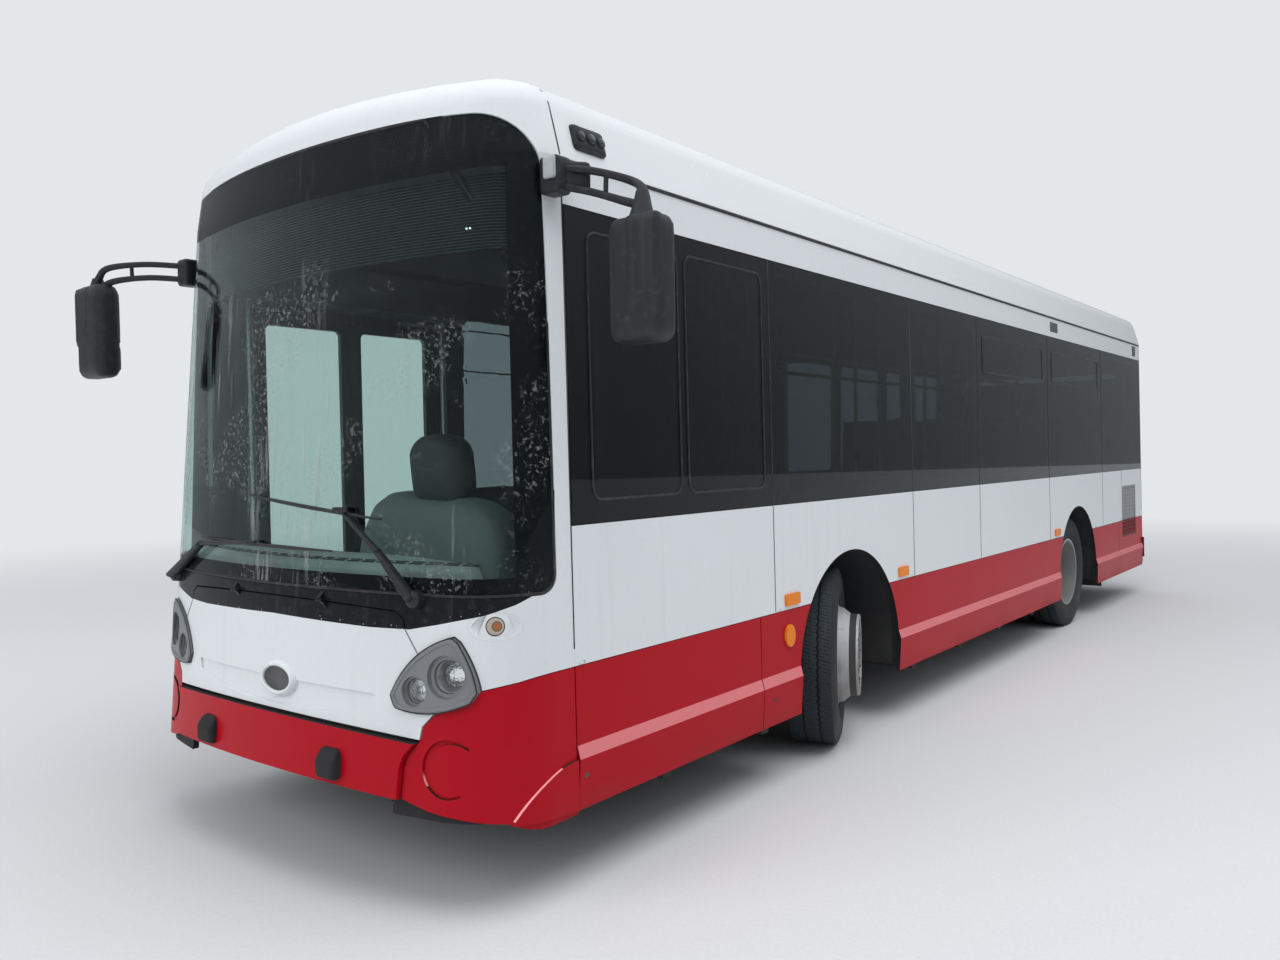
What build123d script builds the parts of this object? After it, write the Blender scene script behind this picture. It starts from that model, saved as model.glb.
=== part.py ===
from build123d import *
import os
from math import cos, sin, radians, sqrt

# City bus, millimetres. X to the bus's left (driver's) side, Y to the rear, Z up.
# The origin is on the ground, on the centre line, midway between front and rear.

os.makedirs("parts", exist_ok=True)

# Body outline: height, half width, middle of the front, middle of the rear, front corner radius
STATIONS = (
    (250, 1172, -5081, 5120, 330),
    (2722, 1142, -4874, 5100, 280),
    (3062, 1052, -4845, 5097, 200),
)
FRONT_BOW = 164
REAR_BOW = 30
REAR_CORNER_R = 190
CROWN_Z = 3062
CROWN_DROP = 60
CROWN_HALF = 1200
SHOULDER_R = 150

# Panels: thicknesses, seams and heights
WALL_T = 45
GLASS_T = 8
SEAT_GAP = 0.3
SEAM = 6
FLAP_GAP = 6
SKIRT_T = 20
SKIRT_Z = 305
CREASE_LOW_Z = 497
CREASE_HIGH_Z = 547
CREASE_PROUD = 14
SILL_Z = 340
WAIST_Z = 844
BAND_LOW_Z = 1367
BAND_HIGH_Z = 2546
BAND_EDGE = 4
GUTTER_Z = 2722
MASK_SEAM_Y = -4509
REAR_SEAM_Y = 4903
OUTSIDE = 1300
CORE = 700
LONG = 5400

# Running gear
TYRE_R = 488
TYRE_W = 275
RIM_R = 285.5
FLANGE_R = 305
FRONT_AXLE_Y = -2260
REAR_AXLE_Y = 2300
KINGPIN_X = 885
SCRUB = 70
STEER_REST = 23
TWIN_X = 812
TWIN_HALF = 155
ARCH_R = 600
ARCH_Z = 480
FRONT_ARCH_Y = -2215
REAR_ARCH_Y = 2350
REAR_FLARE = 60
UNDER_Z = 200
BOX_T = 18
BOX_INNER_X = 460

# Floors and frame
FLOOR_T = 30
LOW_FLOOR_Z = 370
HIGH_FLOOR_Z = 850
ENGINE_DECK_Z = 1290
BULKHEAD_Y = -4815
BULKHEAD_T = 18
BULKHEAD_Z = 1100
STEP_Y = 1420
ENGINE_WALL_Y = 3800
RAIL_X = 380
RAIL_W = 50
RAIL_H = 88

# Doors: middle of each doorway along the bus, and the gear that swings the leaves
DOORWAYS = (("front_door", -3800), ("middle_door", 350))
DOOR_REACH = 640
JAMB_INSET = 40
LEAF_EDGE = 50
LEAF_T = 34
LEAF_PIVOT = 30
DOOR_FACE_X = 1134
SHAFT_R = 20
LEAF_LOW_Z = 412
LEAF_HIGH_Z = 2390
DOORWAY_LOW_Z = 372
DOORWAY_HIGH_Z = 2440
ARM_T = 18
ARM_GAP = 6
ARM_W = 24
PIN_R = 6
PIN_PLAY = 0.05


def lean_half(height, depth):
    low, high = STATIONS[0], STATIONS[1]
    share = (height - low[0]) / (high[0] - low[0])
    return low[1] + (high[1] - low[1]) * share - depth


def save(piece, label):
    piece.part.label = label
    export_step(piece.part, "parts/" + label + ".step")


# Body envelope: the smooth outer form, moved inward by an inset

def plan_at(station, inset):
    height, half, front, rear, corner = station
    half = half - inset
    front_side = front + inset + FRONT_BOW
    rear_side = rear - inset - REAR_BOW
    with BuildSketch(Plane.XY.offset(height)) as plan:
        with BuildLine():
            ThreePointArc((-half, front_side), (0, front + inset), (half, front_side))
            Line((half, front_side), (half, rear_side))
            ThreePointArc((half, rear_side), (0, rear - inset), (-half, rear_side))
            Line((-half, rear_side), (-half, front_side))
        make_face()
        fillet(plan.vertices().group_by(Axis.Y)[0], corner - inset)
        fillet(plan.vertices().group_by(Axis.Y)[-1], REAR_CORNER_R - inset)
    return plan.sketch.faces()[0]


def envelope(inset):
    levels = [plan_at(station, inset) for station in STATIONS]
    crown = CROWN_Z - inset
    with BuildPart() as body:
        loft(sections=[levels[0], levels[1]], ruled=True)
        loft(sections=[levels[1], levels[2]], ruled=True)
        with BuildSketch(Plane.XZ.offset(-LONG)) as arch:
            with BuildLine():
                ThreePointArc(
                    (-CROWN_HALF, crown - CROWN_DROP), (0, crown), (CROWN_HALF, crown - CROWN_DROP)
                )
                Polyline(
                    (CROWN_HALF, crown - CROWN_DROP),
                    (CROWN_HALF, 0),
                    (-CROWN_HALF, 0),
                    (-CROWN_HALF, crown - CROWN_DROP),
                )
            make_face()
        extrude(amount=2 * LONG, mode=Mode.INTERSECT)
        rim = body.faces().sort_by(Axis.Z)[-1].edges()
        fillet(rim, SHOULDER_R - inset)
    return body.part


def side_block(side, low_y, high_y, low_z, high_z, corner=0):
    with BuildPart() as block:
        with BuildSketch(Plane.YZ.offset(side * CORE)):
            with Locations(((low_y + high_y) / 2, (low_z + high_z) / 2)):
                if corner:
                    RectangleRounded(high_y - low_y, high_z - low_z, corner)
                else:
                    Rectangle(high_y - low_y, high_z - low_z)
        extrude(amount=side * (OUTSIDE - CORE))
    return block.part


def span_block(low_y, high_y, low_z, high_z, half=OUTSIDE):
    with BuildPart() as block:
        with Locations((0, (low_y + high_y) / 2, (low_z + high_z) / 2)):
            Box(2 * half, high_y - low_y, high_z - low_z)
    return block.part


def layer(depth_out, depth_in):
    key = (depth_out, depth_in)
    if key not in LAYERS:
        with BuildPart() as skin:
            add(BODY[depth_out])
            add(BODY[depth_in], mode=Mode.SUBTRACT)
        LAYERS[key] = skin.part
    return LAYERS[key]


def face_block(sketch_lines, low_y, high_y, grow=0):
    with BuildPart() as block:
        with BuildSketch(Plane.XZ.offset(-high_y)):
            with BuildLine():
                sketch_lines()
            make_face()
            if grow:
                offset(amount=grow, kind=Kind.INTERSECTION)
        extrude(amount=high_y - low_y)
    return block.part


def pair(block):
    with BuildPart() as two:
        add(block)
        mirror(about=Plane.YZ)
    return two.part


def skin(depth_out, depth_in, region, *holes):
    with BuildPart() as piece:
        add(layer(depth_out, depth_in))
        add(region, mode=Mode.INTERSECT)
        for hole in holes:
            add(hole, mode=Mode.SUBTRACT)
    return piece.part


def join(*parts):
    with BuildPart() as whole:
        for part in parts:
            add(part)
    return whole


def cut(part, *holes):
    with BuildPart() as rest:
        add(part)
        for hole in holes:
            add(hole, mode=Mode.SUBTRACT)
    return rest


def keep(part, region):
    with BuildPart() as kept:
        add(part)
        add(region, mode=Mode.INTERSECT)
    return kept.part


def proud(region, height):
    return cut(keep(region, BODY[-height]), BODY[-SEAT_GAP]).part


# Body skins at each depth that a panel starts or ends at

BUMPER_PROUD = 18
HOUSING_PROUD = 12
CRESCENT_PROUD = 10
FLAP_T = 15
LID_T = 25
DISPLAY_OUT = 60
DISPLAY_IN = 80
BED = GLASS_T + SEAT_GAP
PANEL_IN = SKIRT_T - SEAT_GAP
CABIN = WALL_T + SEAT_GAP
DEPTHS = (
    0,
    GLASS_T,
    BED,
    FLAP_T,
    PANEL_IN,
    SKIRT_T,
    LID_T,
    WALL_T,
    CABIN,
    DISPLAY_OUT,
    DISPLAY_IN,
    -SEAT_GAP,
    -CRESCENT_PROUD,
    -HOUSING_PROUD,
    -BUMPER_PROUD,
    -BUMPER_PROUD - SEAT_GAP,
)
BODY = {depth: envelope(depth) for depth in DEPTHS}
LAYERS = {}


# Wheel arches, open at the bottom, as cutters through one side

def arch_lines(centre, radius, low, flare=0):
    Line((centre - radius, low), (centre - radius, ARCH_Z))
    ThreePointArc(
        (centre - radius, ARCH_Z), (centre, ARCH_Z + radius), (centre + radius, ARCH_Z)
    )
    Line((centre + radius, ARCH_Z), (centre + radius + flare, low))
    Line((centre + radius + flare, low), (centre - radius, low))


def arch_block(side, centre, radius, low, near, far, flare=0):
    with BuildPart() as block:
        with BuildSketch(Plane.YZ.offset(side * near)):
            with BuildLine():
                arch_lines(centre, radius, low, flare)
            make_face()
        extrude(amount=side * (far - near))
    return block.part


ARCHES = ((FRONT_ARCH_Y, 0), (REAR_ARCH_Y, REAR_FLARE))


# Front end regions, seen from the front

WINDSCREEN_LOW_Z = 1130
WINDSCREEN_HIGH_Z = 2880
WINDSCREEN_SIDE_Y = -4600
WINDSCREEN_LOW_R = 70
WINDSCREEN_HIGH_R = 230
WINDSCREEN_REST = 38
FLAP_TOP_Z = 1084
FLAP_FOOT_Z = 645
BUMPER_TOP_Z = 632
FRONT_Y = -5300
FACE_BACK_Y = MASK_SEAM_Y - SEAM


def flap_lines():
    ThreePointArc((-690, FLAP_TOP_Z - 18), (0, FLAP_TOP_Z), (690, FLAP_TOP_Z - 18))
    Polyline(
        (690, FLAP_TOP_Z - 18), (728, 1042), (738, 1004), (812, 905),
        (880, 800), (883, 719), (834, 669), (825, 622),
    )
    ThreePointArc((825, 622), (0, FLAP_FOOT_Z), (-825, 622))
    Polyline(
        (-825, 622), (-834, 669), (-883, 719), (-880, 800),
        (-812, 905), (-738, 1004), (-728, 1042), (-690, FLAP_TOP_Z - 18),
    )


def bumper_lines():
    ThreePointArc((-816, 609), (0, BUMPER_TOP_Z), (816, 609))
    Polyline((816, 609), (775, 565), (758, 520), (752, 407))
    ThreePointArc((752, 407), (0, 423), (-752, 407))
    Polyline((-752, 407), (-758, 520), (-775, 565), (-816, 609))


def corner_lines():
    Polyline(
        (752 + SEAM, 407), (758 + SEAM, 520), (775 + SEAM, 565), (816 + SEAM, 609),
        (831, 622), (840, 668), (889, 716), (889, 790), (1046, 804), (1129, 826),
        (1165, WAIST_Z - 3), (OUTSIDE, WAIST_Z - 3), (OUTSIDE, 294), (1171, 294),
        (1120, 340), (997, 363), (872, 379), (752 + SEAM, 407),
    )


def mask_lip_lines():
    Polyline(
        (960, WAIST_Z + SEAT_GAP), (960, 800), (1046, 807), (1129, 829),
        (1165, WAIST_Z), (1180, WAIST_Z + SEAT_GAP), (960, WAIST_Z + SEAT_GAP),
    )


def housing_lines():
    ThreePointArc((700, 771), (790, 900), (953, 989))
    Line((953, 989), (976, 973))
    ThreePointArc((976, 973), (1019, 891), (1044, 801))
    Line((1044, 801), (1023, 766))
    ThreePointArc((1023, 766), (880, 724), (722, 730))
    Line((722, 730), (700, 771))


def groove_lines():
    ThreePointArc((-610, 764), (0, 768), (610, 764))
    Line((610, 764), (590, 722))
    ThreePointArc((590, 722), (0, 664), (-590, 722))
    Line((-590, 722), (-610, 764))


def dent_lines():
    ThreePointArc((1020, 604), (847, 503), (996, 438))
    Line((996, 438), (998, 446))
    ThreePointArc((998, 446), (872, 508), (1018, 598))
    Line((1018, 598), (1020, 604))


def front_block(lines, grow=0):
    with BuildPart() as block:
        with BuildSketch(Plane.XZ.offset(-FACE_BACK_Y)):
            with BuildLine():
                lines()
            make_face()
            if grow:
                offset(amount=grow, kind=Kind.INTERSECTION)
        extrude(amount=FACE_BACK_Y - FRONT_Y)
    return block.part


def glazing_block(grow):
    low, high = WINDSCREEN_LOW_Z - grow, WINDSCREEN_HIGH_Z + grow
    back = WINDSCREEN_SIDE_Y + grow
    with BuildPart() as block:
        with BuildSketch(Plane.YZ.offset(-OUTSIDE)) as region:
            with BuildLine():
                Polyline(
                    (FRONT_Y, low), (back, low), (back, high), (FRONT_Y, high), close=True
                )
            make_face()
            corners = region.vertices().group_by(Axis.X)[-1].sort_by(Axis.Y)
            fillet(corners[0], WINDSCREEN_LOW_R + grow)
            fillet(region.vertices().sort_by(Axis.X)[-1:], WINDSCREEN_HIGH_R + grow)
        extrude(amount=2 * OUTSIDE)
    return block.part


flap_hole = front_block(flap_lines, FLAP_GAP)
housing_hole = pair(front_block(housing_lines, FLAP_GAP))
housing_seat = pair(front_block(housing_lines, SEAT_GAP))


# Turn lamps sit in teardrop hollows in the corners of the front, square to the surface

TURN_LAMP = (1072, -4822, 1029)
TURN_AIM = (0.733, -0.68, 0)
TURN_R = 34
TURN_DEPTH = 38
HOLLOW_L = 95
HOLLOW_W = 46
HOLLOW_DEPTH = 22


def turn_bore(radius, depth, lift):
    plane = Plane(origin=TURN_LAMP, z_dir=TURN_AIM)
    with BuildPart() as bore:
        with BuildSketch(plane.offset(-depth)):
            Circle(radius)
        extrude(amount=depth + lift)
    return bore.part


def turn_hollow():
    plane = Plane(origin=TURN_LAMP, x_dir=(0.68, 0.733, 0), z_dir=TURN_AIM)
    with BuildPart() as hollow:
        with BuildSketch(plane):
            Ellipse(HOLLOW_L, HOLLOW_W)
        extrude(amount=-HOLLOW_DEPTH, taper=52)
    return hollow.part


# Front mask: windscreen surround, pillars and roof dome in one moulding, with the flap's hinge eyes

HINGE_Y = -5018
HINGE_Z = FLAP_TOP_Z + FLAP_GAP
HINGE_R = 7
HINGE_PIN_R = 3
HINGE_W = 18
HINGE_XS = (-300, 300)
EYE_GAP = 2


def hinge_eye(low_x, foot_y, foot_z, eye_y, eye_z, bore):
    with BuildPart() as eye:
        with BuildSketch(Plane.YZ.offset(low_x)):
            with Locations((eye_y, eye_z)):
                Circle(HINGE_R)
            with BuildLine():
                Polyline(
                    (eye_y, eye_z + HINGE_R), (eye_y, eye_z - HINGE_R),
                    (foot_y, foot_z - HINGE_R), (foot_y, foot_z + HINGE_R), close=True,
                )
            make_face()
            if bore:
                with Locations((eye_y, eye_z)):
                    Circle(bore, mode=Mode.SUBTRACT)
        extrude(amount=HINGE_W)
    return eye.part


def hinge_pin(low_x, eye_y, eye_z):
    with BuildPart() as pin:
        with BuildSketch(Plane.YZ.offset(low_x)):
            with Locations((eye_y, eye_z)):
                Circle(HINGE_PIN_R)
        extrude(amount=2 * HINGE_W + EYE_GAP)
    return pin.part


MASK_FOOT_Y = -4990
mask_eyes = [
    cut(
        hinge_eye(x, MASK_FOOT_Y, HINGE_Z + 30, HINGE_Y, HINGE_Z, HINGE_PIN_R + PIN_PLAY),
        BODY[WALL_T],
    ).part
    for x in HINGE_XS
]
mask_shell = skin(
    0,
    WALL_T,
    span_block(FRONT_Y, MASK_SEAM_Y, WAIST_Z + SEAT_GAP, CROWN_Z + 100),
    glazing_block(-WINDSCREEN_REST),
    flap_hole,
    housing_hole,
    pair(turn_hollow()),
    pair(turn_bore(TURN_R + SEAT_GAP, TURN_DEPTH, 40)),
)
mask_lip = skin(0, PANEL_IN, pair(front_block(mask_lip_lines)), housing_hole)
front_mask = cut(join(mask_shell, mask_lip).part, skin(0, BED, glazing_block(BAND_EDGE)))
with BuildPart() as front_mask_eyed:
    add(front_mask.part)
    for eye in mask_eyes:
        add(eye)
save(front_mask_eyed, "front_mask")

windscreen = join(skin(0, GLASS_T, glazing_block(0)))
save(windscreen, "windscreen")


# Front flap, hung from the mask on two pins, with the long groove across it and a bare oval boss

GROOVE_DEPTH = 8
BOSS_Z = 735
BOSS_X = 35
BOSS_RX = 62
BOSS_RZ = 46
FLAP_FOOT_Y = -4992


def boss_block():
    with BuildPart() as block:
        with BuildSketch(Plane.XZ.offset(-FACE_BACK_Y)):
            with Locations((BOSS_X, BOSS_Z)):
                Ellipse(BOSS_RX, BOSS_RZ)
        extrude(amount=FACE_BACK_Y - FRONT_Y)
    return block.part


flap_skin = skin(0, FLAP_T, front_block(flap_lines), housing_hole)
flap_cut = cut(flap_skin, skin(0, GLASS_T, front_block(groove_lines)))
flap_eyes = [
    cut(
        hinge_eye(x + HINGE_W + EYE_GAP, FLAP_FOOT_Y, HINGE_Z - 32, HINGE_Y, HINGE_Z, 0),
        BODY[FLAP_T],
    ).part
    for x in HINGE_XS
]
with BuildPart() as front_flap:
    add(flap_cut.part)
    add(skin(-SEAT_GAP, FLAP_T, boss_block()))
    for x, eye in zip(HINGE_XS, flap_eyes):
        add(eye)
        add(hinge_pin(x, HINGE_Y, HINGE_Z))
save(front_flap, "front_flap")


# Front bumper in three mouldings, with the dents of its corners and two rubber guards

bumper_centre = skin(-BUMPER_PROUD, PANEL_IN, front_block(bumper_lines))
corner_region = pair(front_block(corner_lines))
with BuildPart() as crescent:
    with BuildSketch(Plane.YZ.offset(CORE)):
        with BuildLine():
            ThreePointArc((FACE_BACK_Y, CREASE_LOW_Z), (-4690, 452), (-4812, 345))
            Polyline(
                (-4812, 345), (-4812, 330), (FACE_BACK_Y, 310), (FACE_BACK_Y, CREASE_LOW_Z)
            )
        make_face()
    extrude(amount=OUTSIDE - CORE)
front_corners = skin(0, PANEL_IN, corner_region, flap_hole, housing_seat)
corner_swell = skin(-CRESCENT_PROUD, FLAP_T, pair(crescent.part))
corner_dent = skin(0, GLASS_T, pair(front_block(dent_lines)))
front_bumper = cut(join(bumper_centre, front_corners, corner_swell).part, corner_dent)
save(front_bumper, "front_bumper")

GUARD_X = 423
GUARD_W = 112
GUARD_Z = (437, 551)
GUARD_Y = -5100
with BuildPart() as bumper_guards:
    with BuildSketch(Plane.XY.offset(GUARD_Z[0])):
        with Locations((-GUARD_X, GUARD_Y + 50), (GUARD_X, GUARD_Y + 50)):
            RectangleRounded(GUARD_W, 100, 14)
    extrude(amount=GUARD_Z[1] - GUARD_Z[0])
    add(BODY[-BUMPER_PROUD - SEAT_GAP], mode=Mode.SUBTRACT)
save(bumper_guards, "bumper_guards")


# Headlamp housings and their round lamps: x, z, radius, bevel width

LAMPS = ((936, 853, 60, 16), (804, 793, 45, 9))
LAMP_BACK_Y = -4850
LAMP_SINK = 6
LAMP_ROOM = 5


def lamp_bore(x, z, radius, low_y=FRONT_Y, high_y=LAMP_BACK_Y):
    with BuildPart() as bore:
        with BuildSketch(Plane.XZ.offset(-high_y)):
            with Locations((x, z)):
                Circle(radius)
        extrude(amount=high_y - low_y)
    return bore.part


housing_shell = skin(-HOUSING_PROUD, PANEL_IN, pair(front_block(housing_lines)))
headlamp_housings = cut(
    housing_shell,
    *[pair(lamp_bore(x, z, radius + SEAT_GAP)) for x, z, radius, _ in LAMPS],
    *[
        cut(pair(lamp_bore(x, z, radius + bevel)), BODY[-SEAT_GAP]).part
        for x, z, radius, bevel in LAMPS
    ],
)
save(headlamp_housings, "headlamp_housings")

with BuildPart() as headlamps:
    for x, z, radius, _ in LAMPS:
        add(keep(pair(lamp_bore(x, z, radius)), BODY[GLASS_T]))
save(headlamps, "headlamps")

lamp_rooms = [
    pair(lamp_bore(x, z, radius + LAMP_ROOM, FRONT_Y, LAMP_BACK_Y + LAMP_ROOM))
    for x, z, radius, _ in LAMPS
]

MARKER_PROUD = HOUSING_PROUD
TURN_MARKERS = ((-2960, -2820, 863, 921), (-1610, -1475, 862, 920), (1610, 1750, 862, 920))
OVAL_Y = -2925
OVAL_Z = 715
OVAL_RY = 45
OVAL_RZ = 55
markers = [
    pair(proud(side_block(1, low_y, high_y, low_z, high_z, 8), MARKER_PROUD))
    for low_y, high_y, low_z, high_z in TURN_MARKERS
]
with BuildPart() as oval:
    with BuildSketch(Plane.YZ.offset(CORE)):
        with Locations((OVAL_Y, OVAL_Z)):
            Ellipse(OVAL_RY, OVAL_RZ)
    extrude(amount=OUTSIDE - CORE)
ovals = pair(proud(oval.part, MARKER_PROUD))
turn_lamps = join(pair(turn_bore(TURN_R, TURN_DEPTH - SEAT_GAP, 2)), *markers, ovals)
save(turn_lamps, "turn_lamps")


# Rear end regions, seen from behind

REAR_Y = 5300
LID = (800, 690, 1440)
LID_CORNER_R = 40


def rear_block(half, low, high, corner):
    with BuildPart() as block:
        with BuildSketch(Plane.XZ.offset(-REAR_Y)):
            with Locations((0, (low + high) / 2)):
                RectangleRounded(2 * half, high - low, corner)
        extrude(amount=REAR_Y - REAR_SEAM_Y)
    return block.part


lid_half, lid_low, lid_high = LID
lid_room = rear_block(
    lid_half + FLAP_GAP, lid_low - FLAP_GAP, lid_high + FLAP_GAP, LID_CORNER_R + FLAP_GAP
)


# Side walls with the window band, the lower frame behind the skirts, arches and doorways

LEFT_PANES = (
    (-4503, -3052),
    (-3044, -1368),
    (-1360, -190),
    (-182, 1481),
    (1489, 3226),
    (3234, 4897),
)
RIGHT_PANES = (
    (-3044, -1368),
    (-1360, -298),
    (998, 2108),
    (2116, 3226),
    (3234, 4897),
)
PANE_REST = 70
PANE_R = 60
LOW_OPENING_Z = BAND_LOW_Z + 62
HIGH_OPENING_Z = BAND_HIGH_Z - 66
SIDES = (("left", 1, LEFT_PANES), ("right", -1, RIGHT_PANES))
JAMB = DOOR_REACH - JAMB_INSET
GRILLE = (4000, 4620, 670, 1200)
GRILLE_REST = 22
WALL_GRILLE = side_block(
    1, GRILLE[0] - SEAT_GAP, GRILLE[1] + SEAT_GAP, GRILLE[2] - SEAT_GAP, GRILLE[3] + SEAT_GAP
)
GRILLE_THROAT = side_block(
    1,
    GRILLE[0] + GRILLE_REST,
    GRILLE[1] - GRILLE_REST,
    GRILLE[2] + GRILLE_REST,
    GRILLE[3] - GRILLE_REST,
)

doorways = [
    side_block(-1, middle - JAMB, middle + JAMB, SILL_Z - 1, DOORWAY_HIGH_Z)
    for _, middle in DOORWAYS
]

for name, side, panes in SIDES:
    upper = side_block(side, MASK_SEAM_Y + SEAT_GAP, REAR_SEAM_Y, WAIST_Z, GUTTER_Z)
    lower = side_block(side, FRONT_Y, -FRONT_Y, SILL_Z, WAIST_Z)
    band = side_block(
        side, MASK_SEAM_Y, REAR_SEAM_Y, BAND_LOW_Z - BAND_EDGE, BAND_HIGH_Z + BAND_EDGE
    )
    openings = [
        side_block(
            side, low_y + PANE_REST, high_y - PANE_REST, LOW_OPENING_Z, HIGH_OPENING_Z, PANE_R
        )
        for low_y, high_y in panes
    ]
    openings += [
        arch_block(side, centre, ARCH_R, UNDER_Z, CORE, OUTSIDE, flare)
        for centre, flare in ARCHES
    ]
    openings += lamp_rooms + [lid_room]
    if side < 0:
        openings += doorways
    else:
        openings += [skin(0, SKIRT_T, WALL_GRILLE), GRILLE_THROAT]
    shell = join(skin(0, WALL_T, upper), skin(SKIRT_T, WALL_T, lower))
    wall = cut(shell.part, skin(0, BED, band), *openings)
    save(wall, name + "_wall")

side_panes = [
    skin(0, GLASS_T, side_block(side, low_y, high_y, BAND_LOW_Z, BAND_HIGH_Z))
    for _, side, panes in SIDES
    for low_y, high_y in panes
]


# Skirts below the waist, creased along the bottom, in lengths parted at the seams

SKIRT_SEAMS = (-3190, 3855)
skirt_strip = pair(
    side_block(1, MASK_SEAM_Y, REAR_SEAM_Y, SKIRT_Z, WAIST_Z - 3)
)
with BuildPart() as crease:
    with BuildSketch(Plane.XZ.offset(-REAR_SEAM_Y)):
        with BuildLine():
            Polyline(
                (1161, SKIRT_Z + 5), (1171, SKIRT_Z + 5), (1169 + CREASE_PROUD, CREASE_LOW_Z),
                (1168, CREASE_HIGH_Z), (1158, CREASE_HIGH_Z), close=True,
            )
        make_face()
    extrude(amount=REAR_SEAM_Y - MASK_SEAM_Y)
skirt_holes = [
    pair(arch_block(1, centre, ARCH_R, UNDER_Z, CORE, OUTSIDE, flare)) for centre, flare in ARCHES
]
skirt_holes += [
    pair(side_block(1, seam - SEAM / 2, seam + SEAM / 2, SKIRT_Z - 1, WAIST_Z)) for seam in SKIRT_SEAMS
]
skirt_holes += [
    side_block(-1, middle - JAMB, middle + JAMB, DOORWAY_LOW_Z - 6, DOORWAY_HIGH_Z)
    for _, middle in DOORWAYS
]
side_skirts = cut(
    join(skin(0, PANEL_IN, skirt_strip), pair(crease.part)).part, *skirt_holes, WALL_GRILLE
)
save(side_skirts, "side_skirts")

# Engine air grille behind the rear wheel: a frame across wall and skirt with slanted bars

BARS = 12
BAR_T = 5
BAR_W = 20
BAR_DEPTH = 10
grille_low_y, grille_high_y, grille_low_z, grille_high_z = GRILLE
grille_frame = skin(0, PANEL_IN, side_block(1, *GRILLE), GRILLE_THROAT)
pitch = (grille_high_z - grille_low_z - 2 * GRILLE_REST) / BARS
with BuildPart() as bars:
    with BuildSketch(Plane.XZ.offset(-grille_high_y + GRILLE_REST / 2)):
        for bar in range(BARS):
            z = grille_low_z + GRILLE_REST + pitch * (bar + 0.5)
            with Locations((lean_half(z, BAR_DEPTH), z)):
                Rectangle(BAR_W, BAR_T, rotation=-35)
    extrude(amount=grille_high_y - grille_low_y - GRILLE_REST)
side_grille = join(grille_frame, bars.part)
save(side_grille, "side_grille")


# Roof between the mask and the rear, with two escape hatches

roof = join(
    skin(
        0,
        WALL_T,
        span_block(MASK_SEAM_Y + SEAT_GAP, REAR_SEAM_Y, GUTTER_Z + SEAT_GAP, CROWN_Z + 100),
    )
)
save(roof, "roof")

HATCH_YS = (-1900, 2300)
HATCH_W = 800
HATCH_L = 660
HATCH_H = 45
with BuildPart() as roof_hatches:
    with BuildSketch(Plane.XY.offset(CROWN_Z - CROWN_DROP)):
        with Locations(*[(0, hatch_y) for hatch_y in HATCH_YS]):
            RectangleRounded(HATCH_W, HATCH_L, 60)
    extrude(amount=HATCH_H + CROWN_DROP, taper=6)
    add(BODY[-SEAT_GAP], mode=Mode.SUBTRACT)
save(roof_hatches, "roof_hatches")


# Rear end: wall with its window, the engine lid on two pins, lamp pockets and the wrapped bumper

REAR_GLASS = (930, 1560, 2500)
REAR_LAMP_X = 930
REAR_LAMP_ZS = (1010, 1140, 1270)
REAR_LAMP_R = 48
LID_HINGE_Y = 5119
LID_HINGE_XS = (-500, 462)
LID_HINGE_Z = LID[2] + FLAP_GAP


def rear_lamps(radius):
    with BuildPart() as lamps:
        with BuildSketch(Plane.XZ.offset(-REAR_Y)):
            with Locations(*[(x, z) for x in (-REAR_LAMP_X, REAR_LAMP_X) for z in REAR_LAMP_ZS]):
                Circle(radius)
        extrude(amount=REAR_Y - REAR_SEAM_Y)
    return lamps.part


glass_half, glass_low, glass_high = REAR_GLASS
rear_upper = skin(
    0, WALL_T, span_block(REAR_SEAM_Y + SEAT_GAP, REAR_Y, WAIST_Z + SEAT_GAP, CROWN_Z + 100)
)
rear_shell = cut(
    rear_upper,
    skin(
        0,
        BED,
        rear_block(
            glass_half + BAND_EDGE, glass_low - BAND_EDGE, glass_high + BAND_EDGE, PANE_R + 24
        ),
    ),
    rear_block(glass_half - PANE_REST, glass_low + PANE_REST, glass_high - PANE_REST, PANE_R),
    lid_room,
    skin(0, SKIRT_T, rear_lamps(REAR_LAMP_R + SEAT_GAP)),
)
LID_FOOT_Y = 5095
rear_eyes = [
    cut(
        hinge_eye(
            x, LID_FOOT_Y, LID_HINGE_Z + 30, LID_HINGE_Y, LID_HINGE_Z, HINGE_PIN_R + PIN_PLAY
        ),
        BODY[WALL_T],
    ).part
    for x in LID_HINGE_XS
]
rear_wall = join(rear_shell.part, *rear_eyes)
save(rear_wall, "rear_wall")

windows = join(
    *side_panes, skin(0, GLASS_T, rear_block(glass_half, glass_low, glass_high, PANE_R + 20))
)
save(windows, "windows")

LID_SLOTS = 9
lid_slots = [
    rear_block(lid_half - 110, lid_low + 60 + 34 * slot, lid_low + 76 + 34 * slot, 7)
    for slot in range(LID_SLOTS)
]
lid_panel = cut(skin(0, LID_T, rear_block(lid_half, lid_low, lid_high, LID_CORNER_R)), *lid_slots)
lid_eyes = [
    cut(
        hinge_eye(
            x + HINGE_W + EYE_GAP, LID_FOOT_Y, LID_HINGE_Z - 32, LID_HINGE_Y, LID_HINGE_Z, 0
        ),
        BODY[LID_T],
    ).part
    for x in LID_HINGE_XS
]
with BuildPart() as rear_lid:
    add(lid_panel.part)
    for x, eye in zip(LID_HINGE_XS, lid_eyes):
        add(eye)
        add(hinge_pin(x, LID_HINGE_Y, LID_HINGE_Z))
save(rear_lid, "rear_lid")

tail_lamps = join(skin(-CRESCENT_PROUD, PANEL_IN, rear_lamps(REAR_LAMP_R)))
save(tail_lamps, "tail_lamps")

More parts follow.
